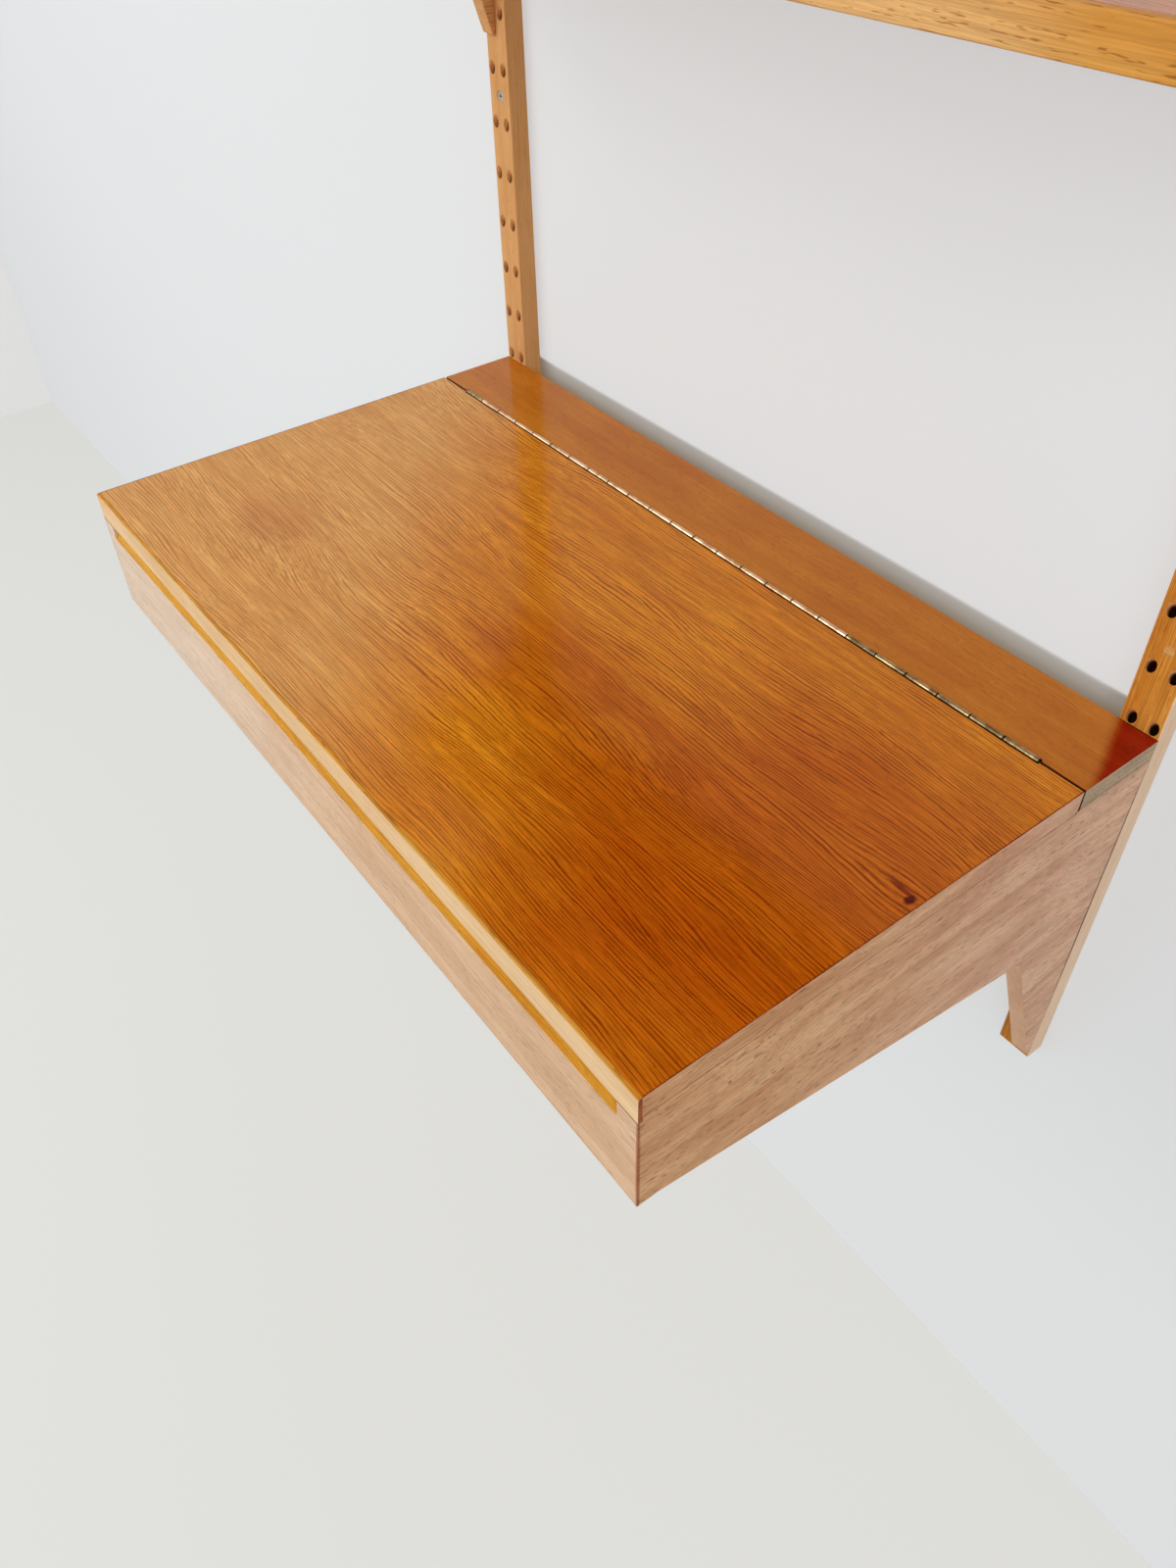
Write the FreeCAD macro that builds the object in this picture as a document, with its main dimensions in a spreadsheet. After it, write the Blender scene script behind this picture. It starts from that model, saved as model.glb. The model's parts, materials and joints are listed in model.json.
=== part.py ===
import FreeCAD, Part

import math
import os
import re
import Sketcher

# Wall-hung shelving unit with a desk, in millimetres.
# X runs along the wall, +Y points into the wall, +Z is up.
# The origin lies on the wall, midway between the two rails and midway up them.
# Two rails with double columns of peg holes are screwed to the wall. The holes slope down
# towards the wall. A desk case with a lift-up lid and two bracketed shelves hang in them on
# steel pegs of the same slope, so that their own weight draws them to the rails.

doc = FreeCAD.newDocument("shelving_unit_with_desk")
sheet = doc.addObject("Spreadsheet::Sheet", "Sizes")

# Driving sizes: alias, value in millimetres (or a count or a row number), meaning.
SIZES = [
    ("unit_width", "800", "overall width, over the rails' outer edges"),
    ("rail_width", "32", "width of a rail"),
    ("rail_thickness", "19", "thickness of a rail"),
    ("rail_edge_round", "1.2", "rounding of a rail's front edges"),
    ("row_pitch", "45", "height from one row of peg holes to the next"),
    ("row_count", "27", "rows of peg holes in a rail"),
    ("row_margin", "34.5", "first row above the rail's lower end"),
    ("outer_column_margin", "6.5", "outer hole centre to the rail's outer edge"),
    ("inner_column_margin", "8", "inner hole centre to the rail's inner edge"),
    ("peg_hole_radius", "4.2", "radius of a peg hole, across its own run"),
    ("peg_hole_depth", "16", "depth of a peg hole, along its sloping run"),
    ("peg_slope_share", "1", "fall of a peg and its hole towards the wall, per unit of run"),
    ("drill_start", "8", "start of the drilled run before the rail's face"),
    ("peg_radius", "4.1", "radius of a steel peg"),
    ("peg_rail_length", "13", "length of a peg inside its rail"),
    ("peg_unit_length", "17", "length of a peg inside a side or bracket"),
    ("peg_drop", "19", "upper peg below the top edge of the side that it holds"),
    ("screw_row_share", "0.5", "wall screws above a row, as a share of the row pitch"),
    ("mid_screw_row_count", "13", "rows up to the one below the middle wall screw"),
    ("wall_screw_length", "60", "length of a wall screw"),
    ("wall_screw_head_radius", "4.4", "radius of a wall screw's head"),
    ("wall_screw_head_height", "3", "height of a wall screw's countersunk head"),
    ("wall_screw_shank_radius", "2", "radius of a wall screw's plain shank"),
    ("wall_screw_thread_radius", "2.25", "radius of a wall screw over its thread"),
    ("wall_screw_thread_start", "0.5", "start of the thread behind the rail"),
    ("wall_screw_tip_length", "7", "length of a wall screw's point"),
    ("wall_screw_sink", "0.8", "wall screw's head below the rail's face"),
    ("wall_screw_room", "0.3", "clearance round a wall screw's thread"),
    ("slot_width", "1.1", "width of a cross slot in a screw's head"),
    ("slot_depth", "1.6", "depth of a cross slot in a screw's head"),
    ("cover_plug_row_count", "9", "rows up to the one below the wooden plug"),
    ("cover_plug_rise", "16.5", "plug's centre above that row"),
    ("cover_plug_radius", "4", "radius of the wooden plug"),
    ("cover_plug_depth", "6", "depth of the wooden plug"),
    ("desk_depth", "460", "desk, front to rear, in front of the rails"),
    ("desk_row_count", "7", "rows from the first up to the desk's upper pegs"),
    ("desk_peg_step", "3", "rows between the desk's pegs"),
    ("desk_peg_count", "3", "pegs in each desk side"),
    ("side_thickness", "16", "thickness of the desk's sides and front"),
    ("front_height", "118", "desk top to the lower edge of the front"),
    ("heel_height", "184", "desk top to the corner where a side turns down"),
    ("heel_depth", "82", "that corner in front of the rails"),
    ("foot_height", "379.5", "desk top to the tip of a side's foot"),
    ("foot_tip_depth", "5", "front to rear at the tip of the foot"),
    ("recess_height", "21", "height of the bevelled finger recess"),
    ("recess_depth", "12", "depth of the finger recess at its top"),
    ("recess_end_margin", "19", "end of the finger recess to the desk's outer face"),
    ("bottom_thickness", "6", "thickness of the desk's plywood bottom"),
    ("bottom_raise", "6", "bottom above the lower edge of the front"),
    ("groove_depth", "6", "depth of the grooves that hold the bottom"),
    ("back_thickness", "16", "thickness of the desk's back"),
    ("back_inset", "3", "back in front of the rails"),
    ("block_leg", "20", "leg of a triangular glue block"),
    ("block_height", "60", "height of a glue block"),
    ("strip_depth", "80", "fixed rear strip of the desk top, front to rear"),
    ("strip_thickness", "19.5", "thickness of the fixed strip"),
    ("lid_thickness", "20", "thickness of the lid"),
    ("lipping_gap", "0.5", "gap under and behind the closed lid's front lipping"),
    ("lid_corner_round", "5", "rounding of the lid's lower rear edge"),
    ("front_lipping_height", "24", "height of the lid's solid front lipping"),
    ("front_lipping_thickness", "3", "thickness of the lid's front lipping"),
    ("front_lipping_round", "2", "rounding of the front lipping's top edge"),
    ("end_lipping_thickness", "1", "thickness of the lid's end lippings"),
    ("hinge_gap", "2", "joint between lid and strip"),
    ("hinge_length", "720", "length of the piano hinge"),
    ("hinge_shift", "3", "hinge's middle to the right of the desk's middle"),
    ("knuckle_count", "24", "knuckles of the hinge"),
    ("knuckle_gap", "0.3", "gap between two knuckles"),
    ("barrel_radius", "2.25", "radius of the hinge's barrel"),
    ("barrel_room", "0.35", "clearance round the barrel"),
    ("hinge_pin_radius", "1.1", "radius of the hinge pin"),
    ("hinge_pin_room", "0.05", "running clearance round the hinge pin"),
    ("leaf_thickness", "0.9", "thickness of a hinge leaf"),
    ("leaf_height", "13", "hinge leaf's lower edge below the pin"),
    ("leaf_web_rise", "1.4", "top of the leaf inside its knuckles, below the pin"),
    ("hinge_screw_count", "8", "screws in each hinge leaf"),
    ("hinge_screw_drop", "8.5", "hinge screws below the pin"),
    ("hinge_screw_length", "14", "length of a hinge screw"),
    ("hinge_screw_head_radius", "2.3", "radius of a hinge screw's head"),
    ("hinge_screw_shank_radius", "1.1", "radius of a hinge screw's plain shank"),
    ("hinge_screw_thread_radius", "1.3", "radius of a hinge screw over its thread"),
    ("hinge_screw_plain_length", "3", "length of a hinge screw's plain shank"),
    ("hinge_screw_tip_length", "3", "length of a hinge screw's point"),
    ("hinge_slot_width", "0.7", "width of a hinge screw's cross slot"),
    ("hinge_slot_depth", "0.6", "depth of a hinge screw's cross slot"),
    ("dowel_radius", "4", "radius of a beech dowel"),
    ("dowel_edge_length", "18", "length of a dowel in the edge of a board"),
    ("dowel_face_length", "12", "length of a dowel in the face of a board"),
    ("strip_dowel_front", "18", "strip's front dowels behind its front edge"),
    ("strip_dowel_rear", "28", "strip's rear dowels in front of the rails"),
    ("back_dowel_upper", "38", "back's upper dowels below the strip"),
    ("back_dowel_lower", "18", "back's lower dowels above the bottom"),
    ("shelf_depth", "200", "shelf, front to rear, in front of the rails"),
    ("shelf_thickness", "21", "thickness of a shelf"),
    ("shelf_lipping_thickness", "6", "thickness of a shelf's front lipping"),
    ("shelf_edge_round", "1.5", "rounding of a shelf's front edges"),
    ("lower_shelf_row_count", "17", "rows up to the lower shelf's upper pegs"),
    ("upper_shelf_row_count", "24", "rows up to the upper shelf's upper pegs"),
    ("bracket_thickness", "16", "thickness of a shelf bracket"),
    ("bracket_nose_inset", "20", "bracket's nose behind the shelf's front"),
    ("bracket_nose_height", "8", "height of a bracket at its nose"),
    ("bracket_heel_depth", "35", "bracket's heel in front of the rails"),
    ("bracket_heel_height", "35", "height of a bracket at its heel"),
    ("bracket_height", "127", "height of a bracket at the rail"),
    ("bracket_tip_depth", "3", "front to rear at the bracket's lower tip"),
    ("bracket_dowel_rear", "35", "rear shelf dowel in front of the rails"),
    ("bracket_dowel_front", "110", "front shelf dowel in front of the rails"),
    ("bracket_dowel_length", "12", "length of a shelf dowel in its bracket"),
]

# Places worked out from the driving sizes: alias, formula.
PLACES = [
    ("half_width", "=unit_width / 2"),
    ("rail_length", "=(row_count - 1) * row_pitch + 2 * row_margin"),
    ("rail_low", "=-rail_length / 2"),
    ("first_row", "=rail_low + row_margin"),
    ("rail_centre", "=half_width - rail_width / 2"),
    ("outer_column", "=half_width - outer_column_margin"),
    ("inner_column", "=half_width - rail_width + inner_column_margin"),
    ("peg_run_share", "=1 / sqrt(1 + peg_slope_share * peg_slope_share)"),
    ("peg_fall_share", "=peg_slope_share * peg_run_share"),
    ("rail_face", "=-rail_thickness"),
    ("screw_low", "=first_row + screw_row_share * row_pitch"),
    ("screw_mid", "=first_row + (mid_screw_row_count + screw_row_share) * row_pitch"),
    ("screw_high", "=-screw_low"),
    ("screw_head_y", "=rail_face + wall_screw_sink"),
    ("screw_slope", "=(wall_screw_head_radius - wall_screw_shank_radius) / wall_screw_head_height"),
    ("wall_screw_plain", "=rail_thickness - wall_screw_sink + wall_screw_thread_start"
                         " - wall_screw_head_height"),
    ("plug_level", "=first_row + cover_plug_row_count * row_pitch + cover_plug_rise"),
    ("desk_peg_level", "=first_row + desk_row_count * row_pitch"),
    ("side_top", "=desk_peg_level + peg_drop"),
    ("desk_top", "=side_top + strip_thickness"),
    ("lid_under", "=desk_top - lid_thickness"),
    ("desk_front", "=rail_face - desk_depth"),
    ("strip_front", "=rail_face - strip_depth"),
    ("hinge_axis", "=strip_front - hinge_gap / 2"),
    ("lid_rear", "=strip_front - hinge_gap"),
    ("lipping_rear", "=desk_front + front_lipping_thickness"),
    ("lipping_under", "=desk_top - front_lipping_height"),
    ("front_seat", "=lipping_under - lipping_gap"),
    ("front_low", "=desk_top - front_height"),
    ("front_inner", "=desk_front + side_thickness"),
    ("side_inner", "=half_width - side_thickness"),
    ("recess_end", "=half_width - recess_end_margin"),
    ("lid_core_end", "=half_width - end_lipping_thickness"),
    ("heel_y", "=rail_face - heel_depth"),
    ("heel_z", "=desk_top - heel_height"),
    ("foot_y", "=rail_face - foot_tip_depth"),
    ("foot_z", "=desk_top - foot_height"),
    ("bottom_low", "=front_low + bottom_raise"),
    ("bottom_high", "=bottom_low + bottom_thickness"),
    ("back_front", "=rail_face - back_inset - back_thickness"),
    ("back_middle", "=back_front + back_thickness / 2"),
    ("hinge_start", "=hinge_shift - hinge_length / 2"),
    ("knuckle_pitch", "=hinge_length / knuckle_count"),
    ("knuckle_length", "=knuckle_pitch - knuckle_gap"),
    ("barrel_cut", "=barrel_radius + barrel_room"),
    ("shelf_front", "=rail_face - shelf_depth"),
    ("shelf_core_front", "=shelf_front + shelf_lipping_thickness"),
    ("bracket_inner", "=half_width - bracket_thickness"),
    ("nose_y", "=shelf_front + bracket_nose_inset"),
    ("bracket_heel_y", "=rail_face - bracket_heel_depth"),
    ("bracket_tip_y", "=rail_face - bracket_tip_depth"),
]

for row, entry in enumerate(SIZES + PLACES, start=1):
    sheet.set("A%d" % row, entry[0])
    sheet.set("B%d" % row, entry[1])
    sheet.setAlias("B%d" % row, entry[0])
    if len(entry) > 2:
        sheet.set("C%d" % row, entry[2])
doc.recompute()

WORDS = {entry[0] for entry in SIZES + PLACES}
LEFT = -1
RIGHT = 1
SIDES = [("left", LEFT), ("right", RIGHT)]

# Turns that point a cylinder's or cone's own Z axis along an axis of the unit.
TURNS = {
    "+X": FreeCAD.Rotation(FreeCAD.Vector(0, 1, 0), 90),
    "+Y": FreeCAD.Rotation(FreeCAD.Vector(1, 0, 0), -90),
    "-Y": FreeCAD.Rotation(FreeCAD.Vector(1, 0, 0), 90),
    "+Z": FreeCAD.Rotation(),
}
QUARTER_TURN = 90


def bound(formula):
    """A formula with every size word pointed at the sheet."""
    def point(word):
        return "Sizes." + word.group(0) if word.group(0) in WORDS else word.group(0)
    return re.sub(r"[a-z_]+", point, formula)


def number(formula):
    """What a formula gives with the sheet's present values."""
    return float(sheet.evalExpression(bound(formula)))


def signed(side, formula):
    """The formula on the right side, or its mirror on the left."""
    return formula if side == RIGHT else "-(" + formula + ")"


def peg_turn():
    """The turn that points a cylinder down the run of a sloping peg, towards the wall."""
    slope = math.degrees(math.atan(number("peg_slope_share")))
    return FreeCAD.Rotation(FreeCAD.Vector(-1, 0, 0), QUARTER_TURN + slope)


def place(obj, corner, turn="+Z"):
    """Bind an object's place to three formulas."""
    rotation = peg_turn() if turn == "peg" else TURNS[turn]
    obj.Placement = FreeCAD.Placement(FreeCAD.Vector(), rotation)
    for axis, formula in zip("xyz", corner):
        obj.setExpression("Placement.Base." + axis, bound(formula))


def box(label, corner, size):
    """A board: its low corner and its three sizes."""
    obj = doc.addObject("Part::Box", label)
    for prop, formula in zip(("Length", "Width", "Height"), size):
        obj.setExpression(prop, bound(formula))
    place(obj, corner)
    return obj


def rod(label, start, turn, radius, length):
    """A round bar from a start point along one axis."""
    obj = doc.addObject("Part::Cylinder", label)
    obj.setExpression("Radius", bound(radius))
    obj.setExpression("Height", bound(length))
    place(obj, start, turn)
    return obj


def cone(label, start, turn, radius, end_radius, length):
    """A tapered bar from a start point along one axis."""
    obj = doc.addObject("Part::Cone", label)
    obj.setExpression("Radius1", bound(radius))
    obj.setExpression("Radius2", bound(end_radius))
    obj.setExpression("Height", bound(length))
    place(obj, start, turn)
    return obj


def fuse(label, pieces):
    """Several shapes made one."""
    obj = doc.addObject("Part::MultiFuse", label)
    obj.Shapes = pieces
    obj.Refine = True
    return obj


def group(label, pieces):
    """Several separate solids kept under one name."""
    obj = doc.addObject("Part::Compound", label)
    obj.Links = pieces
    return obj


def cut(label, blank, tools):
    """A blank with the tools' shapes taken out of it."""
    tool = tools[0] if len(tools) == 1 else fuse(label + "_tools", tools)
    obj = doc.addObject("Part::Cut", label)
    obj.Base = blank
    obj.Tool = tool
    return obj


def outline(body, name, plane, offset, points):
    """A closed outline of straight lines; each corner is bound to two formulas."""
    sketch = body.newObject("Sketcher::SketchObject", name)
    support = [part for part in body.Origin.OriginFeatures if part.Role == plane][0]
    sketch.AttachmentSupport = [(support, "")]
    sketch.MapMode = "FlatFace"
    sketch.setExpression("AttachmentOffset.Base.z", bound(offset))
    corners = [FreeCAD.Vector(number(across), number(up), 0) for across, up in points]
    count = len(corners)
    for index in range(count):
        line = Part.LineSegment(corners[index], corners[(index + 1) % count])
        sketch.addGeometry(line, False)
    for index in range(count):
        sketch.addConstraint(Sketcher.Constraint("Coincident", index, 2, (index + 1) % count, 1))
    for index, (across, up) in enumerate(points):
        for kind, formula, value in (("DistanceX", across, corners[index].x),
                                     ("DistanceY", up, corners[index].y)):
            rule = sketch.addConstraint(Sketcher.Constraint(kind, -1, 1, index, 1, value))
            sketch.setExpression("Constraints[%d]" % rule, bound(formula))
    return sketch


def pad(body, sketch, length):
    """Grow a sketch into a solid along its plane's normal."""
    feature = body.newObject("PartDesign::Pad", sketch.Name + "_pad")
    feature.Profile = sketch
    feature.setExpression("Length", bound(length))
    return feature


def profile_body(label, plane, offset, length, points):
    """A body that is one outline, grown to a length."""
    body = doc.addObject("PartDesign::Body", label)
    sketch = outline(body, label + "_outline", plane, offset, points)
    pad(body, sketch, length)
    doc.recompute()
    return body


def edges_along(shape, axis, test):
    """Names of the straight edges along an axis whose middle passes a test."""
    names = []
    for index, edge in enumerate(shape.Edges, start=1):
        if len(edge.Vertexes) != 2:
            continue
        run = edge.Vertexes[1].Point - edge.Vertexes[0].Point
        if run.Length and abs(run.dot(axis)) > NEARLY_ONE * run.Length:
            if test(edge.CenterOfMass):
                names.append("Edge%d" % index)
    return names


NEARLY_ONE = 0.999
NEAR = 0.01
ALONG_X = FreeCAD.Vector(1, 0, 0)
ALONG_Z = FreeCAD.Vector(0, 0, 1)


def close(value, formula):
    """True where a coordinate lies at a formula's place."""
    return abs(value - number(formula)) < NEAR


def round_edges(body, name, names, radius):
    """Round the named edges of a body's last feature."""
    last = body.Tip
    feature = body.newObject("PartDesign::Fillet", name)
    feature.Base = (last, names)
    feature.setExpression("Radius", bound(radius))
    body.Tip = feature
    doc.recompute()


def screw(label, x, y, z, turn, sizes):
    """A countersunk wood screw, with and without its cross slot; y is its head's face."""
    sign = "+" if turn == "+Y" else "-"
    head_height = sizes["head_height"]
    plain = sizes["plain"]
    thread = "(" + " - ".join([sizes["length"], head_height, plain, sizes["tip_length"]]) + ")"
    plain_y = y + sign + head_height
    thread_y = plain_y + sign + plain
    tip_y = thread_y + sign + thread
    parts = [
        cone(label + "_head", (x, y, z), turn, sizes["head"], sizes["shank"], head_height),
        rod(label + "_shank", (x, plain_y, z), turn, sizes["shank"], plain),
        rod(label + "_thread", (x, thread_y, z), turn, sizes["thread"], thread),
        cone(label + "_point", (x, tip_y, z), turn, sizes["thread"], "0", sizes["tip_length"]),
    ]
    solid = fuse(label + "_solid", parts)
    low_y = y if turn == "+Y" else y + " - " + sizes["slot_depth"]
    reach = sizes["head"]
    wide = sizes["slot_width"]
    slots = [
        box(label + "_slot_a", (x + " - " + reach + " / 2", low_y, z + " - " + wide + " / 2"),
            (reach, sizes["slot_depth"], wide)),
        box(label + "_slot_b", (x + " - " + wide + " / 2", low_y, z + " - " + reach + " / 2"),
            (wide, sizes["slot_depth"], reach)),
    ]
    return cut(label, solid, slots), solid


WALL_SCREW = {
    "length": "wall_screw_length",
    "head": "wall_screw_head_radius",
    "head_height": "wall_screw_head_height",
    "shank": "wall_screw_shank_radius",
    "plain": "wall_screw_plain",
    "thread": "wall_screw_thread_radius",
    "tip_length": "wall_screw_tip_length",
    "slot_width": "slot_width",
    "slot_depth": "slot_depth",
}
HINGE_SCREW = {
    "length": "hinge_screw_length",
    "head": "hinge_screw_head_radius",
    "head_height": "leaf_thickness",
    "shank": "hinge_screw_shank_radius",
    "plain": "hinge_screw_plain_length",
    "thread": "hinge_screw_thread_radius",
    "tip_length": "hinge_screw_tip_length",
    "slot_width": "hinge_slot_width",
    "slot_depth": "hinge_slot_depth",
}
SCREW_LEVELS = ["screw_low", "screw_mid", "screw_high"]

nodes = []


def keep(obj):
    """Count an object among the unit's finished pieces."""
    nodes.append(obj)
    return obj


# Rails

def circle_row(body, name, columns):
    """Circles for the lowest peg hole of each column, square to the holes' sloping run."""
    sketch = body.newObject("Sketcher::SketchObject", name)
    support = [part for part in body.Origin.OriginFeatures if part.Role == "XZ_Plane"][0]
    sketch.AttachmentSupport = [(support, "")]
    sketch.MapMode = "FlatFace"
    slope = math.degrees(math.atan(number("peg_slope_share")))
    tilt = FreeCAD.Rotation(FreeCAD.Vector(-1, 0, 0), slope)
    sketch.AttachmentOffset = FreeCAD.Placement(FreeCAD.Vector(), tilt)
    sketch.setExpression("AttachmentOffset.Base.y",
                         bound("first_row + drill_start * peg_fall_share"))
    sketch.setExpression("AttachmentOffset.Base.z",
                         bound("rail_thickness + drill_start * peg_run_share"))
    for index, column in enumerate(columns):
        centre = FreeCAD.Vector(number(column), 0, 0)
        circle = Part.Circle(centre, ALONG_Z, number("peg_hole_radius"))
        sketch.addGeometry(circle, False)
        rule = sketch.addConstraint(
            Sketcher.Constraint("DistanceX", -1, 1, index, 3, number(column)))
        sketch.setExpression("Constraints[%d]" % rule, bound(column))
        sketch.addConstraint(Sketcher.Constraint("PointOnObject", index, 3, -1))
        radius = Sketcher.Constraint("Radius", index, number("peg_hole_radius"))
        rule = sketch.addConstraint(radius)
        sketch.setExpression("Constraints[%d]" % rule, bound("peg_hole_radius"))
    return sketch


def rail(name, side, plug):
    """One rail with its rows of peg holes and its countersunk screw holes."""
    near = signed(side, "half_width - rail_width")
    far = signed(side, "half_width")
    body = profile_body(name + "_rail_blank", "XY_Plane", "rail_low", "rail_length", [
        (near, "rail_face"), (far, "rail_face"), (far, "0"), (near, "0")])
    front = edges_along(body.Shape, ALONG_Z, lambda point: close(point.y, "rail_face"))
    round_edges(body, name + "_rail_edges", front, "rail_edge_round")
    columns = [signed(side, "inner_column"), signed(side, "outer_column")]
    sketch = circle_row(body, name + "_rail_holes", columns)
    holes = body.newObject("PartDesign::Pocket", name + "_rail_first_holes")
    holes.Profile = sketch
    holes.setExpression("Length", bound("drill_start + peg_hole_depth"))
    doc.recompute()
    rows = body.newObject("PartDesign::LinearPattern", name + "_rail_rows")
    rows.Originals = [holes]
    upward = [part for part in body.Origin.OriginFeatures if part.Role == "Z_Axis"][0]
    rows.Direction = (upward, [""])
    rows.setExpression("Length", bound("(row_count - 1) * row_pitch"))
    rows.setExpression("Occurrences", bound("row_count"))
    body.Tip = rows
    doc.recompute()
    x = signed(side, "rail_centre")
    tools = []
    for level in SCREW_LEVELS:
        label = name + "_rail_" + level
        tools.append(rod(label + "_hole", (x, "rail_face", level), "+Y",
                         "wall_screw_thread_radius + wall_screw_room", "rail_thickness"))
        tools.append(cone(label + "_sink", (x, "rail_face", level), "+Y",
                          "wall_screw_head_radius + wall_screw_sink * screw_slope",
                          "wall_screw_shank_radius",
                          "wall_screw_head_height + wall_screw_sink"))
    if plug:
        tools.append(plug)
    return keep(cut(name + "_rail", body, tools))


cover_plug = keep(rod("cover_plug", ("rail_centre", "rail_face", "plug_level"), "+Y",
                      "cover_plug_radius", "cover_plug_depth"))
rail("left", LEFT, None)
rail("right", RIGHT, cover_plug)

wall_screws = []
for name, side in SIDES:
    for level in SCREW_LEVELS:
        finished, blank = screw(name + "_" + level + "_screw", signed(side, "rail_centre"),
                                "screw_head_y", level, "+Y", WALL_SCREW)
        wall_screws.append(finished)
keep(group("rail_screws", wall_screws))


# Pegs and dowels

def peg(label, side, level):
    """A sloping steel peg, its upper part in a side or bracket and the rest in its rail."""
    start = (signed(side, "outer_column"), "rail_face - peg_unit_length * peg_run_share",
             level + " + peg_unit_length * peg_fall_share")
    return rod(label, start, "peg", "peg_radius", "peg_unit_length + peg_rail_length")


desk_pegs = {LEFT: [], RIGHT: []}
for name, side in SIDES:
    for index in range(int(number("desk_peg_count"))):
        level = "desk_peg_level - %d * desk_peg_step * row_pitch" % index
        desk_pegs[side].append(peg("desk_peg_%s_%d" % (name, index + 1), side, level))
keep(group("desk_pegs", desk_pegs[LEFT] + desk_pegs[RIGHT]))

strip_dowels = {LEFT: [], RIGHT: []}
back_dowels = {LEFT: [], RIGHT: []}
for name, side in SIDES:
    middle = signed(side, "half_width - side_thickness / 2")
    for end, y in (("front", "strip_front + strip_dowel_front"),
                   ("rear", "rail_face - strip_dowel_rear")):
        strip_dowels[side].append(rod(
            "strip_dowel_%s_%s" % (name, end), (middle, y, "side_top - dowel_edge_length"), "+Z",
            "dowel_radius", "dowel_edge_length + dowel_face_length"))
    start = "side_inner - dowel_edge_length" if side == RIGHT else "-side_inner - dowel_face_length"
    for end, z in (("upper", "side_top - back_dowel_upper"),
                   ("lower", "bottom_high + back_dowel_lower")):
        back_dowels[side].append(rod(
            "back_dowel_%s_%s" % (name, end), (start, "back_middle", z), "+X",
            "dowel_radius", "dowel_edge_length + dowel_face_length"))
keep(group("strip_dowels", strip_dowels[LEFT] + strip_dowels[RIGHT]))
keep(group("back_dowels", back_dowels[LEFT] + back_dowels[RIGHT]))


# Desk case

bottom_panel = keep(box(
    "desk_bottom_panel",
    ("-side_inner - groove_depth", "front_inner - groove_depth", "bottom_low"),
    ("2 * (side_inner + groove_depth)", "back_front - front_inner + 2 * groove_depth",
     "bottom_thickness")))

for name, side in SIDES:
    label = "desk_" + name + "_side"
    body = profile_body(
        label + "_blank", "YZ_Plane", "side_inner" if side == RIGHT else "-half_width",
        "side_thickness", [
            ("rail_face", "side_top"),
            ("strip_front", "side_top"),
            ("lid_rear - lid_corner_round / 2", "lid_under"),
            ("lipping_rear + lipping_gap", "lid_under"),
            ("lipping_rear + lipping_gap", "front_seat"),
            ("desk_front", "front_seat"),
            ("desk_front", "front_low"),
            ("front_inner", "front_low"),
            ("heel_y", "heel_z"),
            ("foot_y", "foot_z"),
            ("rail_face", "foot_z")])
    inner = signed(side, "side_inner")
    mitre = outline(body, label + "_mitre", "XY_Plane", "front_low", [
        (inner, "desk_front"), (signed(side, "half_width"), "desk_front"), (inner, "front_inner")])
    mitre_cut = body.newObject("PartDesign::Pocket", label + "_mitre_cut")
    mitre_cut.Profile = mitre
    mitre_cut.Reversed = True
    mitre_cut.setExpression("Length", bound("front_height"))
    doc.recompute()
    seated = desk_pegs[side] + strip_dowels[side] + back_dowels[side] + [bottom_panel]
    keep(cut(label, body, seated))

front_blank = profile_body(
    "desk_front_panel_blank", "XY_Plane", "front_low", "front_seat - front_low", [
        ("-half_width", "desk_front"), ("half_width", "desk_front"),
        ("side_inner", "front_inner"), ("-side_inner", "front_inner")])
recess = outline(front_blank, "finger_recess", "YZ_Plane", "-recess_end", [
    ("desk_front", "front_seat - recess_height"),
    ("desk_front", "front_seat"),
    ("desk_front + recess_depth", "front_seat")])
recess_cut = front_blank.newObject("PartDesign::Pocket", "finger_recess_cut")
recess_cut.Profile = recess
recess_cut.Reversed = True
recess_cut.setExpression("Length", bound("2 * recess_end"))
doc.recompute()
keep(cut("desk_front_panel", front_blank, [bottom_panel]))

back_blank = box(
    "desk_back_panel_blank", ("-side_inner", "back_front", "front_low"),
    ("2 * side_inner", "back_thickness", "side_top - front_low"))
keep(cut("desk_back_panel", back_blank,
         back_dowels[LEFT] + back_dowels[RIGHT] + [bottom_panel]))

for name, side in SIDES:
    corner = signed(side, "side_inner")
    keep(profile_body(
        "desk_glue_block_" + name, "XY_Plane", "bottom_high", "block_height", [
            (corner, "front_inner"),
            (signed(side, "side_inner - block_leg"), "front_inner"),
            (corner, "front_inner + block_leg")]))


# Piano hinge

def knuckle_span(index):
    """Start of a knuckle along the hinge."""
    return "hinge_start + %d * knuckle_pitch + knuckle_gap / 2" % index


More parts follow.
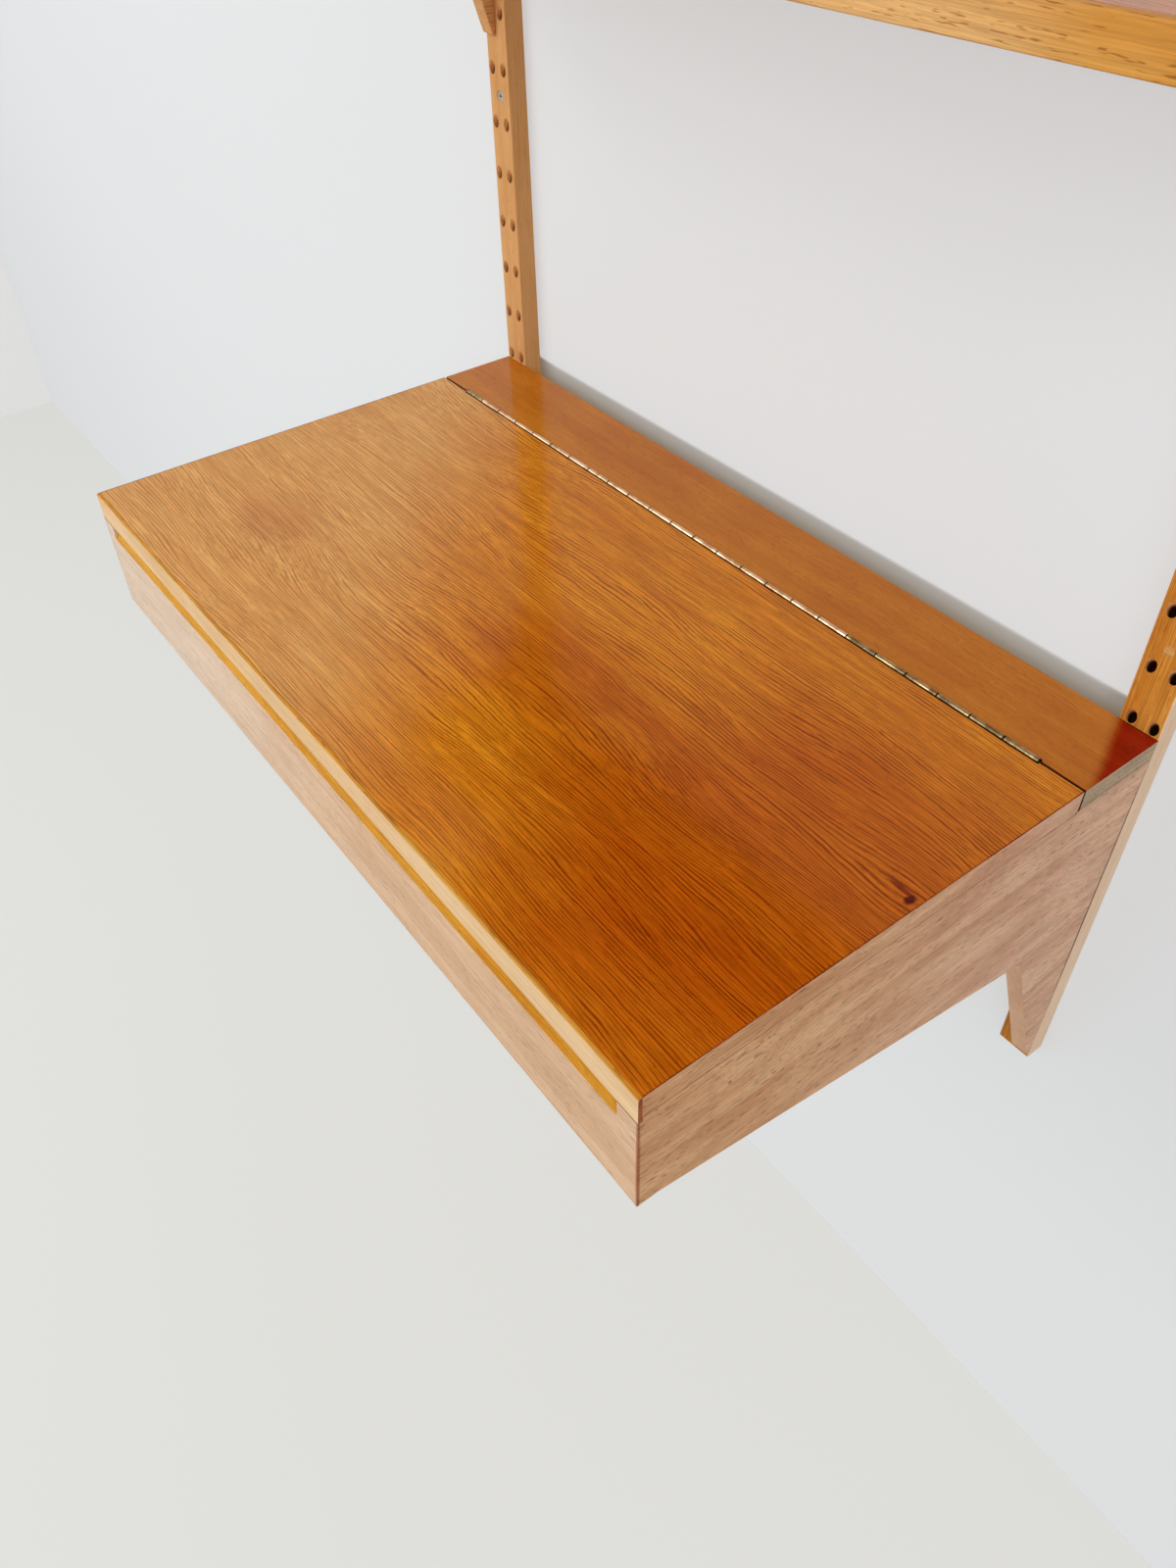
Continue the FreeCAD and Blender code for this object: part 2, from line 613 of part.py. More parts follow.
def hinge_leaf(label, low_y, first, holes):
    """A leaf plate with every second knuckle of the barrel; low_y is its front face."""
    parts = [box(label + "_plate", ("hinge_start", low_y, "desk_top - leaf_height"),
                 ("hinge_length", "leaf_thickness", "leaf_height - barrel_cut"))]
    for index in range(first, int(number("knuckle_count")), 2):
        start = knuckle_span(index)
        parts.append(rod("%s_knuckle_%d" % (label, index), (start, "hinge_axis", "desk_top"),
                         "+X", "barrel_radius", "knuckle_length"))
        parts.append(box("%s_web_%d" % (label, index), (start, low_y, "desk_top - barrel_cut"),
                         ("knuckle_length", "leaf_thickness", "barrel_cut - leaf_web_rise")))
    bore = rod(label + "_bore", ("hinge_start", "hinge_axis", "desk_top"), "+X",
               "hinge_pin_radius + hinge_pin_room", "hinge_length")
    return keep(cut(label, fuse(label + "_blank", parts), [bore] + holes))


def hinge_screws(name, y, turn):
    """A row of countersunk screws through one leaf; returns the shapes of their holes."""
    count = int(number("hinge_screw_count"))
    row = []
    holes = []
    for index in range(count):
        x = "hinge_start + (%d + 1 / 2) * hinge_length / hinge_screw_count" % index
        finished, blank = screw("hinge_screw_%s_%d" % (name, index + 1), x, y,
                                "desk_top - hinge_screw_drop", turn, HINGE_SCREW)
        row.append(finished)
        holes.append(blank)
    keep(group("hinge_%s_screws" % name, row))
    return holes


fixed_holes = hinge_screws("fixed", "strip_front - leaf_thickness", "+Y")
moving_holes = hinge_screws("moving", "lid_rear + leaf_thickness", "-Y")
hinge_leaf("hinge_fixed_leaf", "strip_front - leaf_thickness", 0, fixed_holes)
hinge_leaf("hinge_moving_leaf", "lid_rear", 1, moving_holes)
keep(rod("hinge_pin", ("hinge_start", "hinge_axis", "desk_top"), "+X",
         "hinge_pin_radius", "hinge_length"))

barrel_rebate = box(
    "barrel_rebate",
    ("hinge_start - barrel_room", "hinge_axis - barrel_cut", "desk_top - barrel_cut"),
    ("hinge_length + 2 * barrel_room", "2 * barrel_cut", "barrel_cut"))


# Desk top

strip_blank = box(
    "desk_top_strip_blank", ("-half_width", "strip_front", "side_top"),
    ("unit_width", "strip_depth", "strip_thickness"))
keep(cut("desk_top_strip", strip_blank,
         strip_dowels[LEFT] + strip_dowels[RIGHT] + [barrel_rebate] + fixed_holes))


def lid_slab(label, start, length):
    """A length of the lid's section, with its rounded lower rear edge."""
    body = profile_body(label, "YZ_Plane", start, length, [
        ("lipping_rear", "lid_under"), ("lid_rear", "lid_under"),
        ("lid_rear", "desk_top"), ("lipping_rear", "desk_top")])
    lower_rear = edges_along(
        body.Shape, ALONG_X,
        lambda point: close(point.y, "lid_rear") and close(point.z, "lid_under"))
    round_edges(body, label + "_corner", lower_rear, "lid_corner_round")
    return body


lid_blank = lid_slab("desk_lid_blank", "-lid_core_end", "2 * lid_core_end")
keep(cut("desk_lid", lid_blank, [barrel_rebate] + moving_holes))
keep(lid_slab("lid_left_lipping", "-half_width", "end_lipping_thickness"))
keep(lid_slab("lid_right_lipping", "lid_core_end", "end_lipping_thickness"))

front_lipping = profile_body(
    "lid_front_lipping", "YZ_Plane", "-half_width", "unit_width", [
        ("desk_front", "lipping_under"), ("lipping_rear", "lipping_under"),
        ("lipping_rear", "desk_top"), ("desk_front", "desk_top")])
top_front = edges_along(
    front_lipping.Shape, ALONG_X,
    lambda point: close(point.y, "desk_front") and close(point.z, "desk_top"))
round_edges(front_lipping, "lid_front_lipping_edge", top_front, "front_lipping_round")
keep(front_lipping)


# Shelves

def shelf(name, row):
    """A board with a front lipping on two brackets, hung on pegs in the rails."""
    level = "(first_row + %s * row_pitch)" % row
    under = "(" + level + " + peg_drop)"
    pegs = []
    dowels = []
    for side_name, side in SIDES:
        label = "%s_%s" % (name, side_name)
        own_pegs = [peg(label + "_peg_upper", side, level),
                    peg(label + "_peg_lower", side, level + " - row_pitch")]
        middle = signed(side, "half_width - bracket_thickness / 2")
        own_dowels = []
        for end in ("rear", "front"):
            own_dowels.append(rod(
                label + "_dowel_" + end,
                (middle, "rail_face - bracket_dowel_" + end, under + " - bracket_dowel_length"),
                "+Z", "dowel_radius", "bracket_dowel_length + dowel_face_length"))
        body = profile_body(
            label + "_bracket_blank", "YZ_Plane",
            "bracket_inner" if side == RIGHT else "-half_width", "bracket_thickness", [
                ("rail_face", under),
                ("nose_y", under),
                ("nose_y", under + " - bracket_nose_height"),
                ("bracket_heel_y", under + " - bracket_heel_height"),
                ("bracket_tip_y", under + " - bracket_height"),
                ("rail_face", under + " - bracket_height")])
        keep(cut(label + "_bracket", body, own_pegs + own_dowels))
        pegs += own_pegs
        dowels += own_dowels
    blank = box(name + "_board_blank", ("-half_width", "shelf_core_front", under),
                ("unit_width", "shelf_depth - shelf_lipping_thickness", "shelf_thickness"))
    keep(cut(name + "_board", blank, dowels))
    lipping = profile_body(
        name + "_lipping", "YZ_Plane", "-half_width", "unit_width", [
            ("shelf_front", under), ("shelf_core_front", under),
            ("shelf_core_front", under + " + shelf_thickness"),
            ("shelf_front", under + " + shelf_thickness")])
    front = edges_along(lipping.Shape, ALONG_X, lambda point: close(point.y, "shelf_front"))
    round_edges(lipping, name + "_lipping_edges", front, "shelf_edge_round")
    keep(lipping)
    keep(group(name + "_pegs", pegs))
    keep(group(name + "_dowels", dowels))


shelf("lower_shelf", "lower_shelf_row_count")
shelf("upper_shelf", "upper_shelf_row_count")

doc.recompute()
for obj in doc.Objects:
    if "Invalid" in obj.State or "Error" in obj.State:
        raise RuntimeError("%s did not recompute" % obj.Name)

os.makedirs("parts", exist_ok=True)
for node in nodes:
    if node.Shape.isNull() or not node.Shape.isValid() or not node.Shape.Solids:
        raise RuntimeError("%s has no valid solid" % node.Label)
    node.Shape.exportStep("parts/%s.step" % node.Label)
    print(node.Label, len(node.Shape.Solids), round(node.Shape.Volume))
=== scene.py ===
import json
import math

import bmesh
import bpy
from mathutils import Matrix, Vector

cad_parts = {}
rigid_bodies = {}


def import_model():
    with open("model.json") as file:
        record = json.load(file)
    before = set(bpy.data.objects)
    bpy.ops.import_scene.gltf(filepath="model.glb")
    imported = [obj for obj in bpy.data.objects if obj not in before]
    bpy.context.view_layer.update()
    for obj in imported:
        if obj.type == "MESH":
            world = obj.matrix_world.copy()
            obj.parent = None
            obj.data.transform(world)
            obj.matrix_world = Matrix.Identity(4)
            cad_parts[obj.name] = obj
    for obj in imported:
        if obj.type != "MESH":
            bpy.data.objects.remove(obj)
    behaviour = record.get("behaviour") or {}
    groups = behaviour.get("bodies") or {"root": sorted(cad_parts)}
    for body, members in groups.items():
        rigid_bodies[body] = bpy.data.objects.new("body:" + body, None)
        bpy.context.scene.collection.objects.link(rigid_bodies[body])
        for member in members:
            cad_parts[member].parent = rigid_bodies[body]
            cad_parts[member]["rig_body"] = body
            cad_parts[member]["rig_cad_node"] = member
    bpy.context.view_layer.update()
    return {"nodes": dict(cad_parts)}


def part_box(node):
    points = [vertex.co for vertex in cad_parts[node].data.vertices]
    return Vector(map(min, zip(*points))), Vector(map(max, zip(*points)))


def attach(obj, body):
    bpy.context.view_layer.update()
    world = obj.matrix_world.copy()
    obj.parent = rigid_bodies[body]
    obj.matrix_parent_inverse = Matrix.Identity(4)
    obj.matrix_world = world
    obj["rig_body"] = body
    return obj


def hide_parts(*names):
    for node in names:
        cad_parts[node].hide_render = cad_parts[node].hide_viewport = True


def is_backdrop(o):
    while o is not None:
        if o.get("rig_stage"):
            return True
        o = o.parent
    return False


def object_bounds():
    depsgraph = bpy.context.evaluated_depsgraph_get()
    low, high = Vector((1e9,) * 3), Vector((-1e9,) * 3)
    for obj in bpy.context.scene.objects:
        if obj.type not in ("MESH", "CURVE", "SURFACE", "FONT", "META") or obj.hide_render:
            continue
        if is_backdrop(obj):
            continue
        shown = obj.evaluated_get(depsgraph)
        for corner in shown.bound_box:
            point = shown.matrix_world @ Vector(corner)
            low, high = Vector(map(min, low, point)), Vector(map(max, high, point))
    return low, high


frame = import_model()

# Sizes repeated from the part's source, in metres. HEEL and FOOT are (y, z) points.
HALF_WIDTH = 0.400
SIDE_INNER = 0.384
RAIL_MIDDLE = 0.384
RAIL_FACE = -0.019
DESK_TOP = -0.2315
SIDE_TOP = -0.251
LID_UNDER = -0.2515
LIPPING_UNDER = -0.2555
DESK_FRONT = -0.479
LIPPING_REAR = -0.476
NOTCH_REAR = -0.4755
FRONT_SEAT = -0.256
FRONT_LOW = -0.3495
FRONT_INNER = -0.463
HEEL = (-0.101, -0.4155)
FOOT = (-0.024, -0.611)
STRIP_FRONT = -0.099
LID_REAR = -0.101
LID_CORNER_ROUND = 0.005
END_EDGING = 0.001
RECESS_LOW = -0.277
RECESS_DEPTH = 0.012
RECESS_END = 0.381
LIPPING_ROUND = 0.002
HINGE_AXIS = -0.100
BARREL_ROOM = 0.0026
HINGE_START, HINGE_END = -0.35735, 0.36335
NOSE_HEIGHT = 0.008
SHELF_EDGE_ROUND = 0.0015
# (y, drop below the shelf) of two corners of a bracket's outline.
BRACKET_HEEL = (-0.054, 0.035)
BRACKET_TIP = (-0.022, 0.127)

ACROSS, DEEP, UP = 0, 1, 2
LEFT, RIGHT = -1, 1

# Widths of the softened edges.
TIGHT_EDGE = 0.0002
FINE_EDGE = 0.0003
SOFT_EDGE = 0.0006
ROUND_STEPS = 6
SHELF_ROUND_STEPS = 4
SHARP_ANGLE = math.radians(28)
SMOOTH_ANGLE = math.radians(40)
FLAT_ANGLE = math.radians(1)

# How far a cutter reaches past its piece, and which gaps and moves count as none.
OVERCUT = 0.01
SAME_PLACE = 0.00005
NO_MOVE = 1e-7
WELD_REACH = 0.000005

# How much of a face's normal lies along an axis when the face looks that way.
SLIGHTLY = 0.2
PARTLY = 0.3
MOSTLY = 0.8
SQUARE_ON = 0.9
LEVEL = 0.95


# Modelling

def let_go():
    """Leave edit mode and select nothing."""
    if bpy.context.object and bpy.context.object.mode != "OBJECT":
        bpy.ops.object.mode_set(mode="OBJECT")
    bpy.ops.object.select_all(action="DESELECT")


def take(obj):
    """Select one object alone."""
    let_go()
    obj.select_set(True)
    bpy.context.view_layer.objects.active = obj


def block(name, low, high):
    """A squared blank between two corners, its place kept in its mesh."""
    let_go()
    low, high = Vector(low), Vector(high)
    bpy.ops.mesh.primitive_cube_add(size=1, location=(low + high) / 2, scale=high - low)
    obj = bpy.context.object
    obj.name = obj.data.name = name
    bpy.ops.object.transform_apply(location=True, rotation=False, scale=True)
    return obj


def pick(obj, kind, test):
    """In edit mode, select the faces, edges or corners whose middle passes a test."""
    if bpy.context.object is not obj or obj.mode != "EDIT":
        take(obj)
        bpy.ops.object.mode_set(mode="EDIT")
    bpy.ops.mesh.select_mode(type=kind)
    bpy.ops.mesh.select_all(action="DESELECT")
    mesh = bmesh.from_edit_mesh(obj.data)
    if kind == "FACE":
        for face in mesh.faces:
            face.select_set(test(face.calc_center_median(), face.normal))
    elif kind == "EDGE":
        for edge in mesh.edges:
            start, end = (corner.co for corner in edge.verts)
            edge.select_set(test((start + end) / 2, end - start))
    else:
        for corner in mesh.verts:
            corner.select_set(test(corner.co))
    mesh.select_flush_mode()
    bmesh.update_edit_mesh(obj.data)


def near(value, target):
    return abs(value - target) < SAME_PLACE


def shift(obj, test, move):
    """Move the corners that pass a test."""
    pick(obj, "VERT", test)
    bpy.ops.transform.translate(value=move)


def round_edge(obj, test, radius, segments):
    """Round the edges whose middle and run pass a test."""
    pick(obj, "EDGE", test)
    bpy.ops.mesh.bevel(offset=radius, segments=segments, affect="EDGES")
    let_go()


def trim(obj, point, normal):
    """Saw off what lies beyond a plane and close the cut."""
    pick(obj, "FACE", lambda centre, normal: True)
    bpy.ops.mesh.bisect(plane_co=point, plane_no=normal, use_fill=True, clear_outer=True)
    let_go()


def apply_all(obj):
    """Apply every modifier in turn."""
    take(obj)
    for modifier in list(obj.modifiers):
        bpy.ops.object.modifier_apply(modifier=modifier.name)


def take_out(obj, cutter):
    """Cut another shape's room out of a piece."""
    cut = obj.modifiers.new("cut", "BOOLEAN")
    cut.operation = "DIFFERENCE"
    cut.solver = "EXACT"
    cut.object = cutter
    apply_all(obj)
    bpy.data.objects.remove(cutter)


def plate(name, x_low, x_high, stations):
    """A flat board whose outline is drawn by (y, low z, high z) stations."""
    first_y, low, high = stations[0]
    second_y = stations[1][0]
    board = block(name, (x_low, first_y, low), (x_high, second_y, high))
    for (last_y, last_low, last_high), (y, low, high) in zip(stations, stations[1:]):
        if last_y != first_y:
            pick(board, "FACE",
                 lambda centre, normal: near(centre.y, last_y) and normal.y > SQUARE_ON)
            bpy.ops.mesh.extrude_region_move(
                TRANSFORM_OT_translate={"value": (0, y - last_y, 0)})
        middle = (last_low + last_high) / 2
        for is_top, move in ((False, low - last_low), (True, high - last_high)):
            if abs(move) > NO_MOVE:
                shift(board, lambda co: near(co.y, y) and (co.z > middle) == is_top,
                      (0, 0, move))
    let_go()
    return board


def soften(obj, width, segments=2):
    """Take the sharpness off every edge and shade the piece cleanly."""
    bevel = obj.modifiers.new("softened edges", "BEVEL")
    bevel.width = width
    bevel.segments = segments
    bevel.limit_method = "ANGLE"
    bevel.angle_limit = SHARP_ANGLE
    apply_all(obj)
    take(obj)
    bpy.ops.object.shade_smooth_by_angle(angle=SMOOTH_ANGLE)
    clean = obj.modifiers.new("clean shading", "WEIGHTED_NORMAL")
    clean.keep_sharp = True
    apply_all(obj)


def cad_copy(node_name, name):
    """A copy of a CAD node with its corners merged and its flat faces made whole."""
    obj = frame["nodes"][node_name].copy()
    obj.data = obj.data.copy()
    obj.name = obj.data.name = name
    bpy.context.scene.collection.objects.link(obj)
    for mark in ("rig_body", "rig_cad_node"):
        del obj[mark]
    obj.parent = None
    pick(obj, "VERT", lambda co: True)
    bpy.ops.mesh.remove_doubles(threshold=WELD_REACH)
    bpy.ops.mesh.customdata_custom_splitnormals_clear()
    bpy.ops.mesh.dissolve_limited(angle_limit=FLAT_ANGLE)
    let_go()
    return obj


# Shader nodes

def tone(red, green, blue):
    """A colour written in 0 to 255 steps, as the renderer reads it."""
    def linear(step):
        share = step / 255
        return share / 12.92 if share <= 0.04045 else ((share + 0.055) / 1.055) ** 2.4
    return (linear(red), linear(green), linear(blue), 1)


def node(tree, kind, inputs=None, **settings):
    """A node with its settings; an input is a plain value or another node's socket."""
    made = tree.nodes.new(kind)
    for key, value in settings.items():
        setattr(made, key, value)
    for key, value in (inputs or {}).items():
        socket = made.inputs[key]
        if isinstance(value, bpy.types.NodeSocket):
            tree.links.new(value, socket)
        else:
            socket.default_value = value
    return made


def calc(tree, operation, first, second=0.0, third=None):
    """A sum done at every point of the surface."""
    inputs = {0: first, 1: second}
    if third is not None:
        inputs[2] = third
    return node(tree, "ShaderNodeMath", inputs, operation=operation).outputs[0]


def product(tree, first, second):
    return calc(tree, "MULTIPLY", first, second)


def rest_of(tree, share):
    """What a share leaves of the whole."""
    return calc(tree, "SUBTRACT", 1.0, share)


def off_centre(tree, value):
    """How far a value that runs from 0 to 1 is above its middle."""
    return calc(tree, "SUBTRACT", value, 0.5)


def folded(tree, turns):
    """How far each repeat of a pattern is from its middle, 0 to 0.5."""
    return calc(tree, "ABSOLUTE", off_centre(tree, calc(tree, "FRACT", turns)))


def dot(tree, vector, direction):
    return node(tree, "ShaderNodeVectorMath", {0: vector, 1: direction},
                operation="DOT_PRODUCT").outputs["Value"]


def mixed(tree, share, first, second, kind="MIX"):
    made = node(tree, "ShaderNodeMix", {0: share, 6: first, 7: second},
                data_type="RGBA", blend_type=kind)
    return made.outputs[2]


def stretched(tree, vector, sizes):
    """Coordinates counted in lengths of a pattern's features."""
    return node(tree, "ShaderNodeVectorMath", {0: vector, 1: [1 / size for size in sizes]},
                operation="MULTIPLY").outputs[0]


def noise(tree, vector, detail=2.0, roughness=0.5):
    return node(tree, "ShaderNodeTexNoise",
                {"Vector": vector, "Scale": 1.0, "Detail": detail, "Roughness": roughness}
                ).outputs["Fac"]


def step_between(tree, value, low, high):
    """0 at one value and 1 at another, eased in between."""
    return node(tree, "ShaderNodeMapRange", {0: value, 1: low, 2: high, 3: 0.0, 4: 1.0},
                interpolation_type="SMOOTHSTEP").outputs[0]


def shared_group(name, inputs, outputs):
    """An empty node group with named sockets, and its two ends."""
    tree = bpy.data.node_groups.new(name, "ShaderNodeTree")
    for label, kind, value in inputs:
        socket = tree.interface.new_socket(name=label, in_out="INPUT", socket_type=kind)
        if value is not None:
            socket.default_value = value
    for label, kind in outputs:
        tree.interface.new_socket(name=label, in_out="OUTPUT", socket_type=kind)
    return tree, tree.nodes.new("NodeGroupInput").outputs, tree.nodes.new("NodeGroupOutput")


NUMBER = "NodeSocketFloat"
COLOUR = "NodeSocketColor"
PLACE = "NodeSocketVector"

# Feature sizes of the oak patterns in metres: along the grain, then across it.
LONG_WAVE = (0.3, 0.11, 0.11)
SHORT_WAVE = (0.04, 0.02, 0.02)
MOTTLE = (0.09, 0.045, 0.045)
BANDS = (0.6, 0.016)
GROWTH = (0.6, 0.014)
FIBRES = (0.09, 0.0009)
SERRATION = (0.006, 0.0007)
UNEVEN_RUN = 0.25
# Widths and shifts of the long lines, counted in their spacing.
UNEVEN_ROWS = 5.0
UNEVEN_SHIFT = 2.4
PRESENCE_ROWS = 1.4
LINE_LEAST, LINE_MORE = 0.02, 0.6
# Parts of a pattern's 0 to 1 range that are spread over the whole of it.
PRESENCE_RANGE = (0.32, 0.62)
FIBRE_RANGE = (0.3, 0.7)
FIGURE_RANGE = (0.36, 0.64)
PORE_RANGE = 0.09
# Shares of one pattern in another, and in the wood's roughness and height.
SHORT_WAVE_SHARE = 0.06
GROWTH_SHARE = 0.16
SMOOTH_WOOD = 0.42
FIBRE_ROUGHNESS = 0.08
PORE_ROUGHNESS = 0.12
FIBRE_HEIGHT = -0.2


def make_oak_group():
    """Oak with its grain along X: soft figure, fibres, long fine lines and short open pores."""
    tree, given, end = shared_group(
        "Oak grain",
        [("Vector", PLACE, None), ("Pale", COLOUR, tone(215, 130, 50)),
         ("Deep", COLOUR, tone(180, 90, 25)), ("Pore", COLOUR, tone(120, 45, 10)),
         ("Line length", NUMBER, 0.07), ("Line spacing", NUMBER, 0.0026),
         ("Line depth", NUMBER, 0.5), ("Pore length", NUMBER, 0.012),
         ("Pore spacing", NUMBER, 0.0012), ("Pore start", NUMBER, 0.6),
         ("Pore depth", NUMBER, 0.5), ("Wave", NUMBER, 0.012), ("Fibre depth", NUMBER, 0.35),
         ("Mottle", NUMBER, 0.5)],
        [("Color", COLOUR), ("Roughness", NUMBER), ("Height", NUMBER)])

    def along(length, spacing):
        """The waved place counted in a length along the grain and a spacing across it."""
        step = node(tree, "ShaderNodeCombineXYZ", {
            index: calc(tree, "DIVIDE", 1.0, size)
            for index, size in enumerate((length, spacing, spacing))}).outputs[0]
        return node(tree, "ShaderNodeVectorMath", {0: waved, 1: step},
                    operation="MULTIPLY").outputs[0]

    long_wave = noise(tree, stretched(tree, given["Vector"], LONG_WAVE), detail=1.0)
    short_wave = noise(tree, stretched(tree, given["Vector"], SHORT_WAVE), detail=1.0)
    drift = calc(tree, "MULTIPLY_ADD", off_centre(tree, short_wave), SHORT_WAVE_SHARE,
                 off_centre(tree, long_wave))
    drift = product(tree, drift, product(tree, given["Wave"], 2.0))
    waved = node(tree, "ShaderNodeVectorMath",
                 {0: given["Vector"],
                  1: node(tree, "ShaderNodeCombineXYZ", {1: drift, 2: drift}).outputs[0]},
                 operation="ADD").outputs[0]

    spacing = given["Line spacing"]
    uneven = noise(tree, along(UNEVEN_RUN, product(tree, spacing, UNEVEN_ROWS)))
    rows = calc(tree, "MULTIPLY_ADD", uneven, UNEVEN_SHIFT,
                calc(tree, "DIVIDE", dot(tree, waved, (0, 1, 1)), spacing))
    line_width = calc(tree, "MULTIPLY_ADD", noise(tree, along(*SERRATION)), LINE_MORE,
                      LINE_LEAST)
    lines = rest_of(tree, step_between(tree, folded(tree, rows), 0.0, line_width))
    presence = noise(tree, along(given["Line length"], product(tree, spacing, PRESENCE_ROWS)),
                     roughness=0.6)
    lines = product(tree, lines, step_between(tree, presence, *PRESENCE_RANGE))

    growth = noise(tree, along(*GROWTH))
    start = calc(tree, "MULTIPLY_ADD", calc(tree, "SUBTRACT", 0.5, growth), GROWTH_SHARE,
                 given["Pore start"])
    pores = noise(tree, along(given["Pore length"], given["Pore spacing"]), 1.0, 0.6)
    pores = step_between(tree, pores, start, calc(tree, "ADD", start, PORE_RANGE))
    fibres = step_between(tree, noise(tree, along(*FIBRES), 3.0, 0.65), *FIBRE_RANGE)

    mottle = noise(tree, stretched(tree, given["Vector"], MOTTLE), 3.0, 0.55)
    bands = noise(tree, along(*BANDS))
    figure = calc(tree, "MULTIPLY_ADD", mottle, 0.5, product(tree, bands, 0.5))
    figure = step_between(tree, figure, *FIGURE_RANGE)
    share = calc(tree, "MULTIPLY_ADD", off_centre(tree, figure), given["Mottle"], 0.5)
    colour = mixed(tree, share, given["Pale"], given["Deep"])
    light = calc(tree, "MULTIPLY_ADD", calc(tree, "SUBTRACT", 0.5, fibres),
                 given["Fibre depth"], 1.0)
    colour = node(tree, "ShaderNodeVectorMath", {0: colour, "Scale": light},
                  operation="SCALE").outputs[0]
    colour = mixed(tree, product(tree, lines, given["Line depth"]), colour, given["Pore"])
    colour = mixed(tree, product(tree, pores, given["Pore depth"]), colour, given["Pore"])

    dark = calc(tree, "MAXIMUM", pores, lines)
    roughness = calc(tree, "MULTIPLY_ADD", dark, PORE_ROUGHNESS,
                     calc(tree, "MULTIPLY_ADD", fibres, FIBRE_ROUGHNESS, SMOOTH_WOOD))
    height = calc(tree, "SUBTRACT", product(tree, fibres, FIBRE_HEIGHT), dark)
    tree.links.new(colour, end.inputs["Color"])
    tree.links.new(roughness, end.inputs["Roughness"])
    tree.links.new(height, end.inputs["Height"])
    return tree


STAIN_SOFTNESS = 0.6
STAIN_RAGGEDNESS = 0.5
RAGGED_EDGE = (0.45, 0.45, 0.45)


def make_stain_group():
    """A soft-edged stain, knot or mark: 1 at its middle and 0 outside its unit circle."""
    tree, given, end = shared_group(
        "Stain", [("Vector", PLACE, None), ("Softness", NUMBER, STAIN_SOFTNESS),
                  ("Raggedness", NUMBER, STAIN_RAGGEDNESS)],
        [("Mask", NUMBER)])
    ragged = noise(tree, stretched(tree, given["Vector"], RAGGED_EDGE), 3.0, 0.6)
    distance = node(tree, "ShaderNodeVectorMath", {0: given["Vector"]},
                    operation="LENGTH").outputs["Value"]
    distance = calc(tree, "MULTIPLY_ADD", off_centre(tree, ragged), given["Raggedness"],
                    distance)
    outside = step_between(tree, distance, rest_of(tree, given["Softness"]), 1.0)
    tree.links.new(rest_of(tree, outside), end.inputs["Mask"])
    return tree


OAK = make_oak_group()
STAIN = make_stain_group()

# Turns that lay the grain group's X along an axis of the unit.
GRAIN_TURN = {
    "X": (0, 0, 0),
    "Y": (0, 0, math.radians(90)),
    "Z": (0, math.radians(90), 0),
}


def object_place(tree, location=(0, 0, 0), rotation=(0, 0, 0), scale=(1, 1, 1), kind="POINT"):
    """Object coordinates, moved, turned and scaled."""
    source = node(tree, "ShaderNodeTexCoord").outputs["Object"]
    return node(tree, "ShaderNodeMapping",
                {"Vector": source, "Location": location, "Rotation": rotation, "Scale": scale},
                vector_type=kind).outputs[0]


def spot_mask(tree, centre, reach, softness=STAIN_SOFTNESS, raggedness=STAIN_RAGGEDNESS):
    """1 in the middle of a spot, such as a stain or a band of painted shade, and 0 beyond its
    reach.
    """
    place = object_place(tree, centre, scale=reach, kind="TEXTURE")
    return node(tree, "ShaderNodeGroup",
                {"Vector": place, "Softness": softness, "Raggedness": raggedness},
                node_tree=STAIN).outputs["Mask"]


def start_material(name):
    material = bpy.data.materials.new(name)
    material.use_nodes = True
    tree = material.node_tree
    shader = tree.nodes["Principled BSDF"]
    return material, tree, shader


# Finishes

# Coat weight, coat roughness and coat IOR of the two lacquers.
SATIN = (0.5, 0.35, 1.3)
GLOSS = (1.0, 0.15, 1.25)
BARE_SHINE = 0.15
GRAIN_DEPTH = 0.0001
GRAIN_RELIEF = 0.6
KNOT_PULL = 0.7
KNOT_RAGGEDNESS = 0.1


